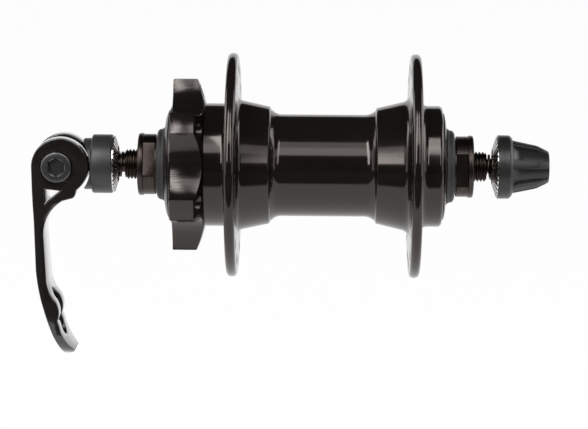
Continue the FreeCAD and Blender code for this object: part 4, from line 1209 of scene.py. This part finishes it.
finish_piece(shell, SHELL, "hub", "hub_shell")
for side in ("left", "right"):
    finish_piece(dust_caps[side], DUST_CAP, "hub", "%s_dust_cap" % side)
    finish_piece(seals[side], RUBBER, "axle_set", "%s_cone_seal" % side)
    finish_piece(locknuts[side], OXIDE, "axle_set", "%s_locknut" % side)
finish_piece(axle, THREAD, "axle_set", "axle")
finish_piece(rod, THREAD, "skewer", "skewer_rod")
finish_piece(springs["left"], SPRING, "cap", "left_spring")
finish_piece(springs["right"], SPRING, "nut_carrier", "right_spring")
finish_piece(cap, CAP_SATIN, "cap", "skewer_cap")
finish_piece(cap_ring, PLATED, "cap", "cap_grip_ring")
finish_piece(insert, PLATED, "nut", "nut_grip_insert")
finish_piece(nut, NUT_SATIN, "nut", "adjusting_nut")
finish_piece(lever, LEVER, "lever", "quick_release_lever")
finish_piece(screw, SCREW, "lever", "pivot_screw")
finish_piece(pivot_nut, SCREW, "lever", "pivot_nut")
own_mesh(springs["right"])

kept = {"nut_lock_ring": NYLON}
for side in ("left", "right"):
    for name in ("cone", "bearing_cup", "balls"):
        kept["%s_%s" % (side, name)] = BEARING
    kept["%s_ball_cage" % side] = CAGE
    kept["%s_lock_washer" % side] = OXIDE
for node, material in kept.items():
    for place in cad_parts[node].material_slots:
        place.material = material

# %% [markdown]
# ## The studio
# The hub hangs over a pale floor in front of white, as in a catalogue. A black glossy tube
# shows its surroundings more than its colour, so white all round would turn it grey. Four
# dark screens that only reflections see stand for the unlit room: behind the camera,
# overhead, beyond the hub, and on the table before it. What they leave open is what draws
# the pale bands on the real hub.

# %% Floor, screens and world
FLOOR = -0.13
FLOOR_SIZE = 6.0


def divided(name, cuts):
    """Names the new plane and divides it."""
    plane = named(name)
    edit(plane)
    bpy.ops.mesh.subdivide(number_cuts=cuts)
    bpy.ops.object.mode_set(mode="OBJECT")
    return plane


bpy.ops.mesh.primitive_plane_add(size=FLOOR_SIZE, location=(0, 0, FLOOR))
floor = divided("floor", 4)


def seen_or_not(tree, unseen, seen):
    """One value for rays that show the background, and another for rays that only light."""
    path = tree.nodes.new("ShaderNodeLightPath")
    shown = path.outputs["Is Camera Ray"]
    for kind in ("Is Glossy Ray", "Is Transmission Ray"):
        either = tree.nodes.new("ShaderNodeMath")
        either.operation = "MAXIMUM"
        tree.links.new(shown, either.inputs[0])
        tree.links.new(path.outputs[kind], either.inputs[1])
        shown = either.outputs[0]
    value = tree.nodes.new("ShaderNodeMapRange")
    value.inputs["To Min"].default_value = unseen
    value.inputs["To Max"].default_value = seen
    tree.links.new(shown, value.inputs["Value"])
    return value.outputs[0]


FLOOR_LIT, FLOOR_SEEN = 0.5, 0.96
pale = Finish("pale_floor")
pale.done(pale.mixed(pale.noise(300.0), shade(0.9, 0.9, 0.9), shade(0.93, 0.93, 0.93)), 0.9)
glow = pale.add("ShaderNodeEmission", {}, {"Color": shade(1, 1, 1), "Strength": 1.0})
share = seen_or_not(pale.material.node_tree, FLOOR_LIT, FLOOR_SEEN)
blend = pale.add("ShaderNodeMixShader", {}, {0: share, 1: pale.shader.outputs[0], 2: glow.outputs[0]})
pale.links.new(blend.outputs[0], pale.nodes["Material Output"].inputs["Surface"])
floor.data.materials.append(pale.material)

AMBIENT = 0.4
world = bpy.data.worlds.new("studio")
bpy.context.scene.world = world
world.use_nodes = True
backdrop = world.node_tree.nodes["Background"]
world.node_tree.links.new(seen_or_not(world.node_tree, AMBIENT, 1.0), backdrop.inputs["Strength"])
backdrop.inputs["Color"].default_value = shade(1, 1, 1)

dark = Finish("dark_screen")
dark.done(dark.mixed(dark.noise(80.0), shade(0.012, 0.011, 0.011), shade(0.016, 0.015, 0.015)), 0.9)
SCREEN_WIDTH = 4.0
UPRIGHT, LEVEL = math.pi / 2, 0.0


def screen(name, centre, high, tilt):
    """A dark screen that only reflections see. It is as wide as the room."""
    bpy.ops.mesh.primitive_plane_add(size=1, location=centre, rotation=(0, tilt, 0))
    bpy.context.object.scale = (high, SCREEN_WIDTH, 1)
    cloth = divided(name, 3)
    cloth.visible_camera = False
    cloth.visible_diffuse = False
    cloth.visible_shadow = False
    cloth.data.materials.append(dark.material)


screen("room_behind_camera", (-1.6, 0, 0.0), 1.9, UPRIGHT)
screen("room_overhead", (0.05, 0, 1.4), 2.6, LEVEL)
screen("room_beyond", (1.35, 0, 1.05), 0.75, UPRIGHT)
screen("dark_table", (-1.35, 0, FLOOR + 0.004), 2.3, LEVEL)
print("The floor is %.0f mm under the axle" % (-FLOOR / MM))

# %% [markdown]
# A soft box above the camera draws the band along the barrel. Two tall lamps beside it
# light the flanges' rims and the lobes from the left and the right, the left one stronger,
# and two lamps at the sides keep the ends of the hub from going black.

# %% Lamps
HUB = Vector((0, 0, 0))


def lamp(name, place, size, power):
    """A rectangular lamp that faces the hub."""
    bpy.ops.object.light_add(type="AREA", location=place)
    light = bpy.context.object
    light.name = name
    light.data.shape = "RECTANGLE"
    light.data.size, light.data.size_y = size
    light.data.energy = power
    light.rotation_euler = (HUB - Vector(place)).to_track_quat("-Z", "Y").to_euler()


lamp("soft_box", (-0.9, 0.0, 0.95), (1.0, 0.72), 3.0)
lamp("tall_left", (-0.9, 0.5, 0.75), (0.34, 1.2), 8.0)
lamp("tall_right", (-0.92, -0.45, 0.75), (0.3, 1.2), 3.5)
for way, side in ((1, "left"), (-1, "right")):
    lamp("side_%s" % side, (0.2, way * 1.2, 0.5), (0.8, 0.8), 4.0)
print("Five lamps are on")

# %% [markdown]
# ## The camera
# The photograph looks along +X from about nine degrees above the axle and 0.75 m away, with
# a long lens. The hub isn't in the middle of the picture, so the camera aims under the
# axle and a little to the left. A shifted lens would frame it too, but the shift would
# stay when the camera is moved round the hub. The scale at the axle and the distance give
# the lens.

# %% Camera
PICTURE_WIDTH = 588
SENSOR = 36.0
PIXELS_A_MM = 3.336
AIM_UNDER, AIM_LEFT = 49.25, 36.0
DISTANCE = 0.75
HEIGHT_ANGLE = math.radians(8.75)
CAMERA_Y = -7.25 * MM
LENS_PIXELS = PIXELS_A_MM * DISTANCE / MM
PITCH = HEIGHT_ANGLE + math.atan(AIM_UNDER / LENS_PIXELS)
YAW = math.atan(AIM_LEFT / LENS_PIXELS)
ROLL = math.radians(-0.36)
camera_data = bpy.data.cameras.new("camera")
camera = bpy.data.objects.new("camera", camera_data)
bpy.context.collection.objects.link(camera)
camera_data.sensor_width = SENSOR
camera_data.lens = SENSOR * LENS_PIXELS / PICTURE_WIDTH
camera_data.clip_start = 0.01
camera_data.clip_end = 20.0
camera.location = (-DISTANCE * math.cos(HEIGHT_ANGLE), CAMERA_Y, DISTANCE * math.sin(HEIGHT_ANGLE))
ahead = Vector((math.cos(PITCH) * math.cos(YAW), math.cos(PITCH) * math.sin(YAW), -math.sin(PITCH)))
camera.rotation_mode = "QUATERNION"
camera.rotation_quaternion = ahead.to_track_quat("-Z", "Y")
camera.rotation_quaternion.rotate(Matrix.Rotation(ROLL, 3, ahead).to_quaternion())
bpy.context.scene.camera = camera
bpy.context.scene.view_settings.view_transform = "Standard"
print("The lens is %.0f mm" % camera_data.lens)

# %% Let go of the selection
let_go()
